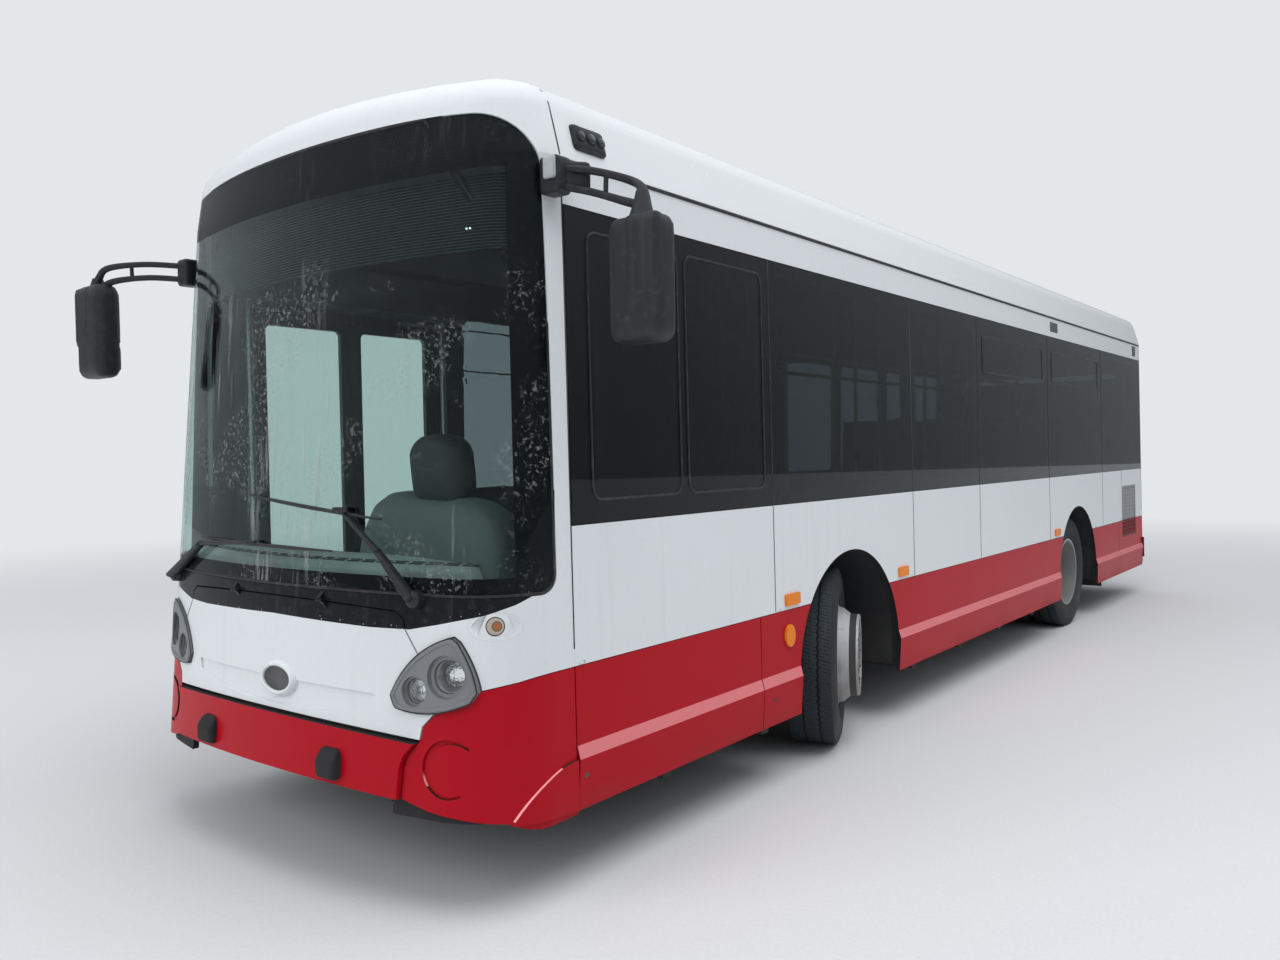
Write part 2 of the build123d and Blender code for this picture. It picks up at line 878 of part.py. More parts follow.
REAR_BUMPER_Z = (330, lid_low - FLAP_GAP)
REAR_BAND_Z = (390, 600)
REAR_CORNER_X = lid_half + 40


def rear_corner_block():
    with BuildPart() as block:
        with BuildSketch(Plane.XZ.offset(-REAR_Y)):
            with BuildLine():
                Polyline(
                    (REAR_CORNER_X, REAR_BUMPER_Z[0]),
                    (REAR_CORNER_X, WAIST_Z - 3),
                    (OUTSIDE, WAIST_Z - 3),
                    (OUTSIDE, REAR_BUMPER_Z[0]),
                    close=True,
                )
            make_face()
        extrude(amount=REAR_Y - REAR_SEAM_Y - SEAM)
    return block.part


rear_start = REAR_SEAM_Y + SEAM
rear_bumper = join(
    skin(0, PANEL_IN, span_block(rear_start, REAR_Y, *REAR_BUMPER_Z)),
    skin(0, PANEL_IN, pair(rear_corner_block())),
    skin(-BUMPER_PROUD, PANEL_IN, span_block(rear_start, REAR_Y, *REAR_BAND_Z)),
)
save(rear_bumper, "rear_bumper")


# Room inside the walls for the floor and what stands on it: plan outline and leaning sides

# Half of the plan outline, from the front middle round to the rear middle
ROOM_PLAN = (
    (0, BULKHEAD_Y), (1040, BULKHEAD_Y), (1088, -4750), (1112, -4650), (1122, -4540),
    (OUTSIDE, -4540), (OUTSIDE, 4740), (1010, 4990), (950, 5018), (470, 5036), (0, 5044),
)


with BuildPart() as room:
    with BuildSketch():
        with BuildLine():
            Polyline(*ROOM_PLAN, (0, BULKHEAD_Y))
        make_face()
        mirror(about=Plane.YZ)
    extrude(amount=GUTTER_Z)
    with BuildSketch(Plane.XZ.offset(-LONG)):
        with BuildLine():
            Polyline(
                (-lean_half(0, CABIN), 0), (lean_half(0, CABIN), 0),
                (lean_half(GUTTER_Z, CABIN), GUTTER_Z), (-lean_half(GUTTER_Z, CABIN), GUTTER_Z),
                close=True,
            )
        make_face()
    extrude(amount=2 * LONG, mode=Mode.INTERSECT)
ROOM = room.part


def bar_block(low_x, high_x, low_y, high_y, low_z, high_z):
    with BuildPart() as bar:
        with Locations(
            ((low_x + high_x) / 2, (low_y + high_y) / 2, (low_z + high_z) / 2)
        ):
            Box(high_x - low_x, high_y - low_y, high_z - low_z)
    return bar.part


# Wheel boxes over the four wheels, closed toward the aisle, with a slot for the rear axle

AXLE_SLOT = (110, 640)


def box_shell(side, centre, flare):
    outer = arch_block(side, centre, ARCH_R + BOX_T, SILL_Z, BOX_INNER_X, OUTSIDE, flare)
    inner = arch_block(side, centre, ARCH_R, SILL_Z - 1, BOX_INNER_X + BOX_T, OUTSIDE, flare)
    return keep(cut(outer, inner).part, ROOM)


axle_slot = bar_block(
    BOX_INNER_X - 1,
    BOX_INNER_X + BOX_T + 1,
    REAR_AXLE_Y - AXLE_SLOT[0],
    REAR_AXLE_Y + AXLE_SLOT[0],
    SILL_Z - 1,
    AXLE_SLOT[1],
)
box_shells = join(*[box_shell(side, *arch) for side in (-1, 1) for arch in ARCHES])
wheel_boxes = cut(box_shells.part, pair(axle_slot))
save(wheel_boxes, "wheel_boxes")
box_rooms = [
    pair(
        arch_block(
            1,
            centre,
            ARCH_R + BOX_T + SEAT_GAP,
            SILL_Z - 1,
            BOX_INNER_X - SEAT_GAP,
            OUTSIDE,
            flare,
        )
    )
    for centre, flare in ARCHES
]


# Floor in three steps, with the front bulkhead standing on its edge

REAR_END = 5300
BULKHEAD_HALF = 980
with BuildPart() as deck:
    with BuildSketch(Plane.YZ.offset(-OUTSIDE)):
        with BuildLine():
            Polyline(
                (BULKHEAD_Y, LOW_FLOOR_Z - FLOOR_T),
                (BULKHEAD_Y, BULKHEAD_Z),
                (BULKHEAD_Y + BULKHEAD_T, BULKHEAD_Z),
                (BULKHEAD_Y + BULKHEAD_T, LOW_FLOOR_Z),
                (STEP_Y, LOW_FLOOR_Z),
                (STEP_Y, HIGH_FLOOR_Z),
                (ENGINE_WALL_Y, HIGH_FLOOR_Z),
                (ENGINE_WALL_Y, ENGINE_DECK_Z),
                (REAR_END, ENGINE_DECK_Z),
                (REAR_END, ENGINE_DECK_Z - FLOOR_T),
                (ENGINE_WALL_Y + FLOOR_T, ENGINE_DECK_Z - FLOOR_T),
                (ENGINE_WALL_Y + FLOOR_T, HIGH_FLOOR_Z - FLOOR_T),
                (STEP_Y + FLOOR_T, HIGH_FLOOR_Z - FLOOR_T),
                (STEP_Y + FLOOR_T, LOW_FLOOR_Z - FLOOR_T),
                close=True,
            )
        make_face()
    extrude(amount=2 * OUTSIDE)
bulkhead_ends = bar_block(
    BULKHEAD_HALF,
    OUTSIDE,
    BULKHEAD_Y - 1,
    BULKHEAD_Y + BULKHEAD_T + 1,
    LOW_FLOOR_Z,
    BULKHEAD_Z + 1,
)
riser_seam = bar_block(
    -OUTSIDE, OUTSIDE, ENGINE_WALL_Y - 1, REAR_END, HIGH_FLOOR_Z, HIGH_FLOOR_Z + SEAT_GAP
)
floor = cut(keep(deck.part, ROOM), pair(bulkhead_ends), riser_seam, *box_rooms)
save(floor, "floor")


# Underframe: rails under the low deck, risers, high rails past the engine, cross members

RAIL_LOW_Z = LOW_FLOOR_Z - FLOOR_T - SEAT_GAP
HIGH_RAIL_Z = HIGH_FLOOR_Z - FLOOR_T - SEAT_GAP
RISER_Y = STEP_Y + FLOOR_T + SEAT_GAP
RISER_L = 80
RAIL_FRONT_Y = -4750
RAIL_REAR_Y = 4900
MEMBER_L = 60
MEMBER_H = 78
CRADLE_Z = 370
CRADLE_TOP_Z = 419.7
ENGINE_LOW_Z = CRADLE_TOP_Z + SEAT_GAP
ENGINE_HALF_W = 350
ENGINE_YS = (3950, 4850)
ENGINE_TOP_Z = 1200
# Cross members: middle along the bus, top height, half width
MEMBERS = (
    (-4600, RAIL_LOW_Z, OUTSIDE),
    (-3900, RAIL_LOW_Z, OUTSIDE),
    (-3100, RAIL_LOW_Z, OUTSIDE),
    (-2700, RAIL_LOW_Z, RAIL_X + RAIL_W),
    (-1800, RAIL_LOW_Z, RAIL_X + RAIL_W),
    (-1300, RAIL_LOW_Z, OUTSIDE),
    (-500, RAIL_LOW_Z, OUTSIDE),
    (300, RAIL_LOW_Z, OUTSIDE),
    (1100, RAIL_LOW_Z, OUTSIDE),
    (1520, HIGH_RAIL_Z, OUTSIDE),
    (3090, HIGH_RAIL_Z, OUTSIDE),
    (3700, HIGH_RAIL_Z, OUTSIDE),
    (4890, HIGH_RAIL_Z, OUTSIDE),
)
CRADLES = (4150, 4650)


def frame_side(side):
    low_x, high_x = sorted((side * RAIL_X, side * (RAIL_X + RAIL_W)))
    bars = [
        (RAIL_FRONT_Y, RISER_Y + RISER_L, RAIL_LOW_Z - RAIL_H, RAIL_LOW_Z),
        (RISER_Y, RISER_Y + RISER_L, RAIL_LOW_Z - RAIL_H, HIGH_RAIL_Z),
        (RISER_Y, RAIL_REAR_Y, HIGH_RAIL_Z - RAIL_H, HIGH_RAIL_Z),
    ]
    bars += [
        (middle - MEMBER_L / 2, middle + MEMBER_L / 2, CRADLE_Z, HIGH_RAIL_Z)
        for middle in CRADLES
    ]
    return [bar_block(low_x, high_x, *bar) for bar in bars]


members = [
    bar_block(
        -half, half, middle - MEMBER_L / 2, middle + MEMBER_L / 2, top - MEMBER_H, top
    )
    for middle, top, half in MEMBERS
]
members += [
    bar_block(
        -RAIL_X, RAIL_X, middle - MEMBER_L / 2, middle + MEMBER_L / 2, CRADLE_Z, CRADLE_TOP_Z
    )
    for middle in CRADLES
]
underframe = cut(keep(join(*frame_side(-1), *frame_side(1), *members).part, ROOM), *box_rooms)
save(underframe, "underframe")

with BuildPart() as engine:
    with Locations((0, sum(ENGINE_YS) / 2, (ENGINE_LOW_Z + ENGINE_TOP_Z) / 2)):
        Box(2 * ENGINE_HALF_W, ENGINE_YS[1] - ENGINE_YS[0], ENGINE_TOP_Z - ENGINE_LOW_Z)
save(engine, "engine")


# Front axle: dropped beam, arms up to the bosses, kingpins and saddles under the rails

HUB_Z = TYRE_R
BEAM_Z = (165, 245)
BEAM_HALF_L = 700
BEAM_HALF_W = 45
NECK_X = (640, 740)
BOSS_R = 45
BOSS_HALF_H = 60
KINGPIN_R = 20
EYE_R = 42
EYE_NEAR = 67
EYE_FAR = 110
SADDLE_HALF_L = 70
KNUCKLE_PLATE = (50, 75)
SPINDLE_R = 35
SPINDLE_END = 230


def cylinder_z(x, y, low_z, high_z, radius):
    with BuildPart() as post:
        with BuildSketch(Plane.XY.offset(low_z)):
            with Locations((x, y)):
                Circle(radius)
        extrude(amount=high_z - low_z)
    return post.part


def axle_end(side):
    low_x, high_x = sorted((side * NECK_X[0], side * NECK_X[1]))
    arm_low_x, arm_high_x = sorted((side * NECK_X[0], side * (KINGPIN_X - 30)))
    saddle_low_x, saddle_high_x = sorted((side * RAIL_X, side * (RAIL_X + RAIL_W)))
    y_low, y_high = FRONT_AXLE_Y - BEAM_HALF_W, FRONT_AXLE_Y + BEAM_HALF_W
    return [
        bar_block(low_x, high_x, y_low, y_high, BEAM_Z[0], HUB_Z + BOSS_HALF_H - 10),
        bar_block(
            arm_low_x, arm_high_x, y_low + 10, y_high - 10, HUB_Z - 45, HUB_Z + 45
        ),
        cylinder_z(
            side * KINGPIN_X, FRONT_AXLE_Y, HUB_Z - BOSS_HALF_H, HUB_Z + BOSS_HALF_H, BOSS_R
        ),
        cylinder_z(side * KINGPIN_X, FRONT_AXLE_Y, HUB_Z - EYE_FAR, HUB_Z + EYE_FAR, KINGPIN_R),
        bar_block(
            saddle_low_x,
            saddle_high_x,
            FRONT_AXLE_Y - SADDLE_HALF_L,
            FRONT_AXLE_Y + SADDLE_HALF_L,
            BEAM_Z[1],
            RAIL_LOW_Z - RAIL_H - SEAT_GAP,
        ),
    ]


front_axle = join(
    bar_block(
        -BEAM_HALF_L,
        BEAM_HALF_L,
        FRONT_AXLE_Y - BEAM_HALF_W,
        FRONT_AXLE_Y + BEAM_HALF_W,
        *BEAM_Z,
    ),
    *axle_end(-1),
    *axle_end(1),
)
save(front_axle, "front_axle")


# Steering knuckles, turned on their kingpins as they stand in the photograph

def wheel_out(side, angle):
    return (side * cos(radians(angle)), side * sin(radians(angle)), 0)


def knuckle(side):
    out = wheel_out(side, STEER_REST)
    pin = (side * KINGPIN_X, FRONT_AXLE_Y, HUB_Z)
    flat = Plane(origin=pin, x_dir=out, z_dir=(0, 0, 1))
    across = Plane(origin=pin, z_dir=out)
    with BuildPart() as part:
        for low, high in ((-EYE_FAR, -EYE_NEAR), (EYE_NEAR, EYE_FAR)):
            with BuildSketch(flat.offset(low)):
                Circle(EYE_R)
                with Locations((KNUCKLE_PLATE[1] / 2, 0)):
                    Rectangle(KNUCKLE_PLATE[1], 2 * EYE_R)
                Circle(KINGPIN_R + PIN_PLAY, mode=Mode.SUBTRACT)
            extrude(amount=high - low)
        with BuildSketch(flat.offset(-EYE_FAR)):
            with Locations((sum(KNUCKLE_PLATE) / 2, 0)):
                Rectangle(KNUCKLE_PLATE[1] - KNUCKLE_PLATE[0], 2 * EYE_R)
        extrude(amount=2 * EYE_FAR)
        with BuildSketch(across.offset(KNUCKLE_PLATE[0] + 5)):
            Circle(SPINDLE_R)
        extrude(amount=SPINDLE_END - KNUCKLE_PLATE[0] - 5)
    return part


for name, side in (("left", 1), ("right", -1)):
    save(knuckle(side), name + "_knuckle")


# Wheels: profiles as distance out along the axle and radius, spun about the axle

FRONT_RIM = (
    (20, 35.05), (185, 35.05), (185, 0), (226, 0), (226, 55), (212, 92), (192, 104),
    (190, 198), (236, 202), (236, 222), (186, 228), (150, 256), (112, 268), (112, 305),
    (104, 305), (104, 285.5), (-104, 285.5), (-104, 305), (-112, 305), (-112, 277),
    (98, 277), (104, 262), (140, 246), (170, 220), (172, 198), (20, 198), (20, 184),
    (150, 184), (150, 90), (20, 90),
)
TWIN_RIM = (
    (-60, 50.05), (70, 50.05), (70, 0), (150, 0), (150, 70), (120, 110), (16, 115),
    (16, 215), (70, 262), (90, 277), (267, 277), (267, 305), (259, 305), (259, 285.5),
    (51, 285.5), (51, 305), (43, 305), (43, 270), (10, 225), (-10, 225), (-43, 270),
    (-43, 305), (-51, 305), (-51, 285.5), (-259, 285.5), (-259, 305), (-267, 305),
    (-267, 277), (-90, 277), (-70, 262), (-16, 215), (-16, 140), (-60, 140),
)
TYRE = (
    (-103.7, 285.8), (103.7, 285.8), (103.7, 305.3), (TYRE_W / 2, 385), (TYRE_W / 2 - 23, TYRE_R),
    (23 - TYRE_W / 2, TYRE_R), (-TYRE_W / 2, 385), (-103.7, 305.3),
)


def spun(profile, centre, out):
    level = Plane(origin=centre, x_dir=out, z_dir=(-out[1], out[0], 0))
    with BuildPart() as wheel:
        with BuildSketch(level):
            with BuildLine():
                Polyline(*profile, close=True)
            make_face()
        revolve(axis=Axis(centre, out))
    return wheel.part


NUT_RING_R = 150
NUTS = 10
NUT_R = 15
HAND_HOLES = 8
HAND_HOLE_R = 24
HAND_RING_R = 172


def ring_of(centre, out, low, high, ring_r, count, radius):
    face = Plane(origin=centre, z_dir=out)
    with BuildPart() as ring:
        with BuildSketch(face.offset(low)):
            with PolarLocations(ring_r, count):
                Circle(radius)
        extrude(amount=high - low)
    return ring.part


for name, side in (("left", 1), ("right", -1)):
    out = wheel_out(side, STEER_REST)
    centre = (
        side * KINGPIN_X + SCRUB * out[0],
        FRONT_AXLE_Y + SCRUB * out[1],
        HUB_Z,
    )
    with BuildPart() as front_rim:
        add(spun(FRONT_RIM, centre, out))
        add(ring_of(centre, out, 180, 208, NUT_RING_R, NUTS, NUT_R))
    save(front_rim, "front_" + name + "_rim")
    save(join(spun(TYRE, centre, out)), "front_" + name + "_tyre")

    straight = wheel_out(side, 0)
    middle = (side * TWIN_X, REAR_AXLE_Y, HUB_Z)
    twins = [(side * (TWIN_X + shift), REAR_AXLE_Y, HUB_Z) for shift in (-TWIN_HALF, TWIN_HALF)]
    with BuildPart() as rear_rims:
        add(spun(TWIN_RIM, middle, straight))
        add(
            ring_of(middle, straight, -20, 20, HAND_RING_R, HAND_HOLES, HAND_HOLE_R),
            mode=Mode.SUBTRACT,
        )
    save(rear_rims, "rear_" + name + "_rims")
    save(join(*[spun(TYRE, twin, straight) for twin in twins]), "rear_" + name + "_tyres")


# Rear axle: tube and differential, brake drums, spindles, brackets and air springs

AXLE_TUBE_R = 75
DIFF_R = 190
DRUM = (600, 740, 190)
REAR_SPINDLE_R = 50
REAR_SPINDLE_END = TWIN_X + 68
SPRING_X = RAIL_X + RAIL_W / 2
SPRING_R = 52
SPRING_LOW_Z = 620


def cylinder_x(low_x, high_x, y, z, radius):
    with BuildPart() as bar:
        with BuildSketch(Plane.YZ.offset(low_x)):
            with Locations((y, z)):
                Circle(radius)
        extrude(amount=high_x - low_x)
    return bar.part


with BuildPart() as differential:
    with Locations((0, REAR_AXLE_Y, HUB_Z)):
        Sphere(DIFF_R)
rear_axle = join(
    differential.part,
    cylinder_x(-DRUM[0], DRUM[0], REAR_AXLE_Y, HUB_Z, AXLE_TUBE_R),
    pair(cylinder_x(DRUM[0], DRUM[1], REAR_AXLE_Y, HUB_Z, DRUM[2])),
    pair(cylinder_x(DRUM[1], REAR_SPINDLE_END, REAR_AXLE_Y, HUB_Z, REAR_SPINDLE_R)),
    pair(
        bar_block(
            SPRING_X - 70, SPRING_X + 50, REAR_AXLE_Y - 70, REAR_AXLE_Y + 70, HUB_Z, SPRING_LOW_Z
        )
    ),
    pair(
        cylinder_z(
            SPRING_X, REAR_AXLE_Y, SPRING_LOW_Z, HIGH_RAIL_Z - RAIL_H - SEAT_GAP, SPRING_R
        )
    ),
)
save(rear_axle, "rear_axle")

MUD_XS = (700, 1105)
MUD_Y = 3390
MUD_T = 12
MUD_Z = 230
mudflaps = join(
    pair(bar_block(*MUD_XS, MUD_Y, MUD_Y + MUD_T, MUD_Z, HIGH_FLOOR_Z - FLOOR_T - SEAT_GAP))
)
save(mudflaps, "mudflaps")


# Doors: each has two shafts with arms and two leaves that glide inward as the arms turn

SHAFT_X = DOOR_FACE_X - LEAF_T - LEAF_PIVOT
ARM_LENGTH = DOOR_REACH / 2
LEAF_W = DOOR_REACH - LEAF_EDGE - 5
UPPER_ARM_Z = LEAF_HIGH_Z + ARM_GAP
LOWER_ARM_Z = LEAF_LOW_Z - ARM_GAP - ARM_T - 3
SHAFT_TOP_Z = DOORWAY_HIGH_Z - SEAT_GAP
LEAF_GLASS_T = 8
LEAF_BORDER = 62
LEAF_REST = 12
LUG_H = 24
LUG_W = 40


def door_arm(pivot_y, shaft_y, low_z):
    with BuildPart() as arm:
        with BuildSketch(Plane.XY.offset(low_z)):
            with Locations((-SHAFT_X, (pivot_y + shaft_y) / 2)):
                Rectangle(ARM_W, ARM_LENGTH)
            with Locations((-SHAFT_X, pivot_y)):
                Circle(ARM_W / 2)
                Circle(PIN_R + PIN_PLAY, mode=Mode.SUBTRACT)
        extrude(amount=ARM_T)
    return arm.part


def door_shaft(pivot_y, shaft_y):
    return join(
        cylinder_z(-SHAFT_X, shaft_y, LOW_FLOOR_Z + SEAT_GAP, SHAFT_TOP_Z, SHAFT_R),
        door_arm(pivot_y, shaft_y, UPPER_ARM_Z),
        door_arm(pivot_y, shaft_y, LOWER_ARM_Z),
    )


def door_lug(pivot_y, lug_low_z, pin_low_z, pin_high_z):
    lug_high_z = lug_low_z + LUG_H
    with BuildPart() as lug:
        with BuildSketch(Plane.XY.offset(lug_low_z)):
            with Locations((-SHAFT_X, pivot_y)):
                Circle(LUG_W / 2)
            with Locations((-SHAFT_X - LEAF_PIVOT / 2 - 1, pivot_y)):
                Rectangle(LEAF_PIVOT + 2, LUG_W)
        extrude(amount=lug_high_z - lug_low_z)
        with BuildSketch(Plane.XY.offset(pin_low_z)):
            with Locations((-SHAFT_X, pivot_y)):
                Circle(PIN_R)
        extrude(amount=pin_high_z - pin_low_z)
    return lug.part


def leaf_plate(middle_y, inset, low_x, high_x):
    width = LEAF_W - 2 * inset
    height = LEAF_HIGH_Z - LEAF_LOW_Z - 2 * inset
    with BuildPart() as plate:
        with BuildSketch(Plane.YZ.offset(low_x)):
            with Locations((middle_y, (LEAF_LOW_Z + LEAF_HIGH_Z) / 2)):
                RectangleRounded(width, height, 30)
        extrude(amount=high_x - low_x)
    return plate.part


def door_leaf(middle_y, pivot_y):
    outer_x = -DOOR_FACE_X
    frame = cut(
        leaf_plate(middle_y, 0, outer_x, outer_x + LEAF_T),
        leaf_plate(middle_y, LEAF_BORDER, outer_x - 1, outer_x + LEAF_T + 1),
        leaf_plate(
            middle_y,
            LEAF_BORDER - LEAF_REST,
            outer_x - 1,
            outer_x + LEAF_GLASS_T + SEAT_GAP,
        ),
    ).part
    return join(
        frame,
        door_lug(pivot_y, LEAF_HIGH_Z - LUG_H, LEAF_HIGH_Z, UPPER_ARM_Z + ARM_T),
        door_lug(pivot_y, LEAF_LOW_Z, LOWER_ARM_Z, LEAF_LOW_Z),
    )


def leaf_glass(middle_y):
    outer_x = -DOOR_FACE_X
    inset = LEAF_BORDER - LEAF_REST + SEAT_GAP
    return join(leaf_plate(middle_y, inset, outer_x, outer_x + LEAF_GLASS_T))


GEAR_X = (-1130, -900)
GEAR_TOP_Z = 2640
GEAR_HALF_L = 690
for door, middle in DOORWAYS:
    for which, way in (("fore", -1), ("aft", 1)):
        shaft_y = middle + way * DOOR_REACH
        pivot_y = shaft_y - way * ARM_LENGTH
        leaf_y = shaft_y - way * (LEAF_EDGE + LEAF_W / 2)
        save(door_shaft(pivot_y, shaft_y), door + "_" + which + "_shaft")
        save(door_leaf(leaf_y, pivot_y), door + "_" + which + "_leaf")
        save(leaf_glass(leaf_y), door + "_" + which + "_glass")
door_gear = join(
    *[
        keep(
            bar_block(
                *GEAR_X, middle - GEAR_HALF_L, middle + GEAR_HALF_L, DOORWAY_HIGH_Z, GEAR_TOP_Z
            ),
            ROOM,
        )
        for _, middle in DOORWAYS
    ]
)
save(door_gear, "door_gear")


# Dashboard across the front with the driver's instrument hump and the steering column

WHEEL_CENTRE = (620, -4280, 1080)
WHEEL_AIM = (0, 0.454, 0.891)
WHEEL_R = 225
RING_R = 15
COLUMN_R = 38
COLUMN_TOP = 60
STUB_R = 14
HUMP = (390, 850, -4640, -4540, 1140, 1245)
with BuildPart() as dash_bar:
    with BuildSketch(Plane.YZ.offset(-OUTSIDE)):
        with BuildLine():
            Polyline(
                (BULKHEAD_Y + BULKHEAD_T + SEAT_GAP, 760),
                (BULKHEAD_Y + BULKHEAD_T + SEAT_GAP, BULKHEAD_Z + SEAT_GAP),
                (FRONT_Y, BULKHEAD_Z + SEAT_GAP),
                (FRONT_Y, 1118),
                (-4700, 1150),
                (-4540, 1150),
                (-4465, 1090),
                (-4480, 900),
                (-4600, 760),
                close=True,
            )
        make_face()
    extrude(amount=2 * OUTSIDE)
DASH_TIP_Y = -4952
DASH_STEP_X = -440
with BuildPart() as dash_room:
    with BuildSketch():
        with BuildLine():
            ThreePointArc((-960, -4810), (0, DASH_TIP_Y), (960, -4810))
            Polyline(
                (960, -4810), (1060, -4730), (1100, -4640), (1100, -4400),
                (DASH_STEP_X, -4400), (DASH_STEP_X, -4530), (-1100, -4530), (-1100, -4640),
                (-1060, -4730), (-960, -4810),
            )
        make_face()
    extrude(amount=GUTTER_Z)
column_plane = Plane(origin=WHEEL_CENTRE, z_dir=WHEEL_AIM)
with BuildPart() as column:
    with BuildSketch(column_plane.offset(-COLUMN_TOP)):
        Circle(COLUMN_R)
    extrude(amount=-900)
    with BuildSketch(column_plane.offset(-COLUMN_TOP)):
        Circle(STUB_R + PIN_PLAY)
    extrude(amount=-80, mode=Mode.SUBTRACT)
    with BuildSketch(Plane.XY.offset(LOW_FLOOR_Z + SEAT_GAP)):
        Rectangle(4 * OUTSIDE, 8 * OUTSIDE)
    extrude(amount=-OUTSIDE, mode=Mode.SUBTRACT)
dash_seam = bar_block(
    DASH_STEP_X - SEAT_GAP, DASH_STEP_X, FRONT_Y, -4400, WAIST_Z - 100, BULKHEAD_Z + 100
)
dash_body = cut(keep(dash_bar.part, dash_room.part), dash_seam)
dashboard = join(dash_body.part, bar_block(*HUMP), column.part)
save(dashboard, "dashboard")

SPOKES = 4
with BuildPart() as steering_wheel:
    with BuildSketch(Plane(origin=WHEEL_CENTRE, x_dir=(1, 0, 0), z_dir=(0, -0.891, 0.454))):
        with Locations((WHEEL_R, 0)):
            Circle(RING_R)
    revolve(axis=Axis(WHEEL_CENTRE, WHEEL_AIM))
    with BuildSketch(column_plane.offset(-35)):
        Circle(60)
    extrude(amount=40)
    with BuildSketch(column_plane.offset(-14)):
        with PolarLocations(WHEEL_R / 2, SPOKES, 45):
            Rectangle(WHEEL_R, 34)
    extrude(amount=12)
    with BuildSketch(column_plane.offset(-35)):
        Circle(STUB_R)
    extrude(amount=-COLUMN_TOP - 40)
save(steering_wheel, "steering_wheel")


# Driver's place: seat, partition behind it and the low door beside it

SEAT_BACK_Y = -3660


def side_profile(low_x, high_x, *points):
    with BuildPart() as body:
        with BuildSketch(Plane.YZ.offset(low_x)):
            with BuildLine():
                Polyline(*points, close=True)
            make_face()
        extrude(amount=high_x - low_x)
    return body.part


driver_seat = join(
    side_profile(
        390, 850,
        (-4190, 740), (-4190, 800), (-4150, 830), (-3760, 820), (-3680, 1480),
        (-3640, 1500), (-3590, 1480), (-3640, 780), (-3680, 740),
    ),
    side_profile(
        500, 740, (-3690, 1450), (-3665, 1640), (-3620, 1680), (-3580, 1640), (-3595, 1450),
    ),
    bar_block(450, 790, -4110, -3760, LOW_FLOOR_Z + SEAT_GAP, 760),
)
save(driver_seat, "driver_seat")

PARTITION_Y = -3420
driver_partition = join(
    keep(
        bar_block(150, OUTSIDE, PARTITION_Y, PARTITION_Y + 22, LOW_FLOOR_Z + SEAT_GAP, 2050),
        ROOM,
    ),
    bar_block(150, 172, -4200, PARTITION_Y + 5, LOW_FLOOR_Z + SEAT_GAP, 1250),
)
save(driver_partition, "driver_partition")


# Passenger seats: inner x, outer x, front of the cushion, deck under them, leg's inner x

SEAT_H = 440
CUSHION_T = 70
SEAT_DEPTH = 400
BACK_H = 640
LEG_W = 120
SEATS = (
    (310, 1085, -1500, LOW_FLOOR_Z),
    (310, 1085, -720, LOW_FLOOR_Z),
    (310, 1085, 80, LOW_FLOOR_Z),
    (310, 1085, 880, LOW_FLOOR_Z),
    (-1085, -310, -1500, LOW_FLOOR_Z),
    (-1085, -310, -880, LOW_FLOOR_Z),
    (310, 1085, 1720, HIGH_FLOOR_Z),
    (310, 1085, 2460, HIGH_FLOOR_Z),
    (310, 1085, 3240, HIGH_FLOOR_Z),
    (-1085, -310, 1720, HIGH_FLOOR_Z),
    (-1085, -310, 2460, HIGH_FLOOR_Z),
    (-1085, -310, 3240, HIGH_FLOOR_Z),
)
BENCH = (-1050, 1050, 4230, ENGINE_DECK_Z)


def seat_pieces(low_x, high_x, front_y, deck):
    top = deck + SEAT_H
    back_y = front_y + SEAT_DEPTH
    cushion = side_profile(
        low_x, high_x,
        (front_y, top - CUSHION_T), (front_y, top - 20), (front_y + 20, top), (back_y - 20, top - 15),
        (back_y + 40, top + BACK_H), (back_y + 80, top + BACK_H), (back_y + 40, top - CUSHION_T),
    )
    leg_low_x = -310 - LEG_W if low_x == -1085 else 310
    legs = [(leg_low_x, leg_low_x + LEG_W)]
    if low_x == BENCH[0]:
        legs = [(low_x + 60, low_x + 60 + LEG_W), (high_x - 60 - LEG_W, high_x - 60)]
    return [cushion] + [
        bar_block(a, b, front_y + 120, back_y - 60, deck + SEAT_GAP, top - CUSHION_T + 5)
        for a, b in legs
    ]


passenger_seats = join(*[piece for seat in SEATS + (BENCH,) for piece in seat_pieces(*seat)])
save(passenger_seats, "passenger_seats")


# Handrails: a lengthwise rail each side on poles from floor to roof

HANDRAIL_X = 395
HANDRAIL_Z = 2250
HANDRAIL_R = 16
# Poles: side, place along the bus, floor under the pole
POLES = (
    (1, -2900, LOW_FLOOR_Z),
    (1, -900, LOW_FLOOR_Z),
    (1, 700, LOW_FLOOR_Z),
    (1, 1560, HIGH_FLOOR_Z),
    (1, 3080, HIGH_FLOOR_Z),
    (-1, -3000, LOW_FLOOR_Z),
    (-1, -1700, LOW_FLOOR_Z),
    (-1, -360, LOW_FLOOR_Z),
    (-1, 1060, LOW_FLOOR_Z),
    (-1, 1560, HIGH_FLOOR_Z),
    (-1, 3080, HIGH_FLOOR_Z),
)
pole_top = CROWN_Z - CABIN - CROWN_DROP * ((HANDRAIL_X + HANDRAIL_R) / CROWN_HALF) ** 2
poles = [
    cylinder_z(side * HANDRAIL_X, y, floor + SEAT_GAP, pole_top, HANDRAIL_R)
    for side, y, floor in POLES
]
with BuildPart() as handrails:
    with BuildSketch(Plane.XZ.offset(3100)):
        with Locations((-HANDRAIL_X, HANDRAIL_Z), (HANDRAIL_X, HANDRAIL_Z)):
            Circle(HANDRAIL_R)
    extrude(amount=-6250)
    for pole in poles:
        add(pole)
save(handrails, "handrails")


# Destination display behind the top of the windscreen, held at the pillars

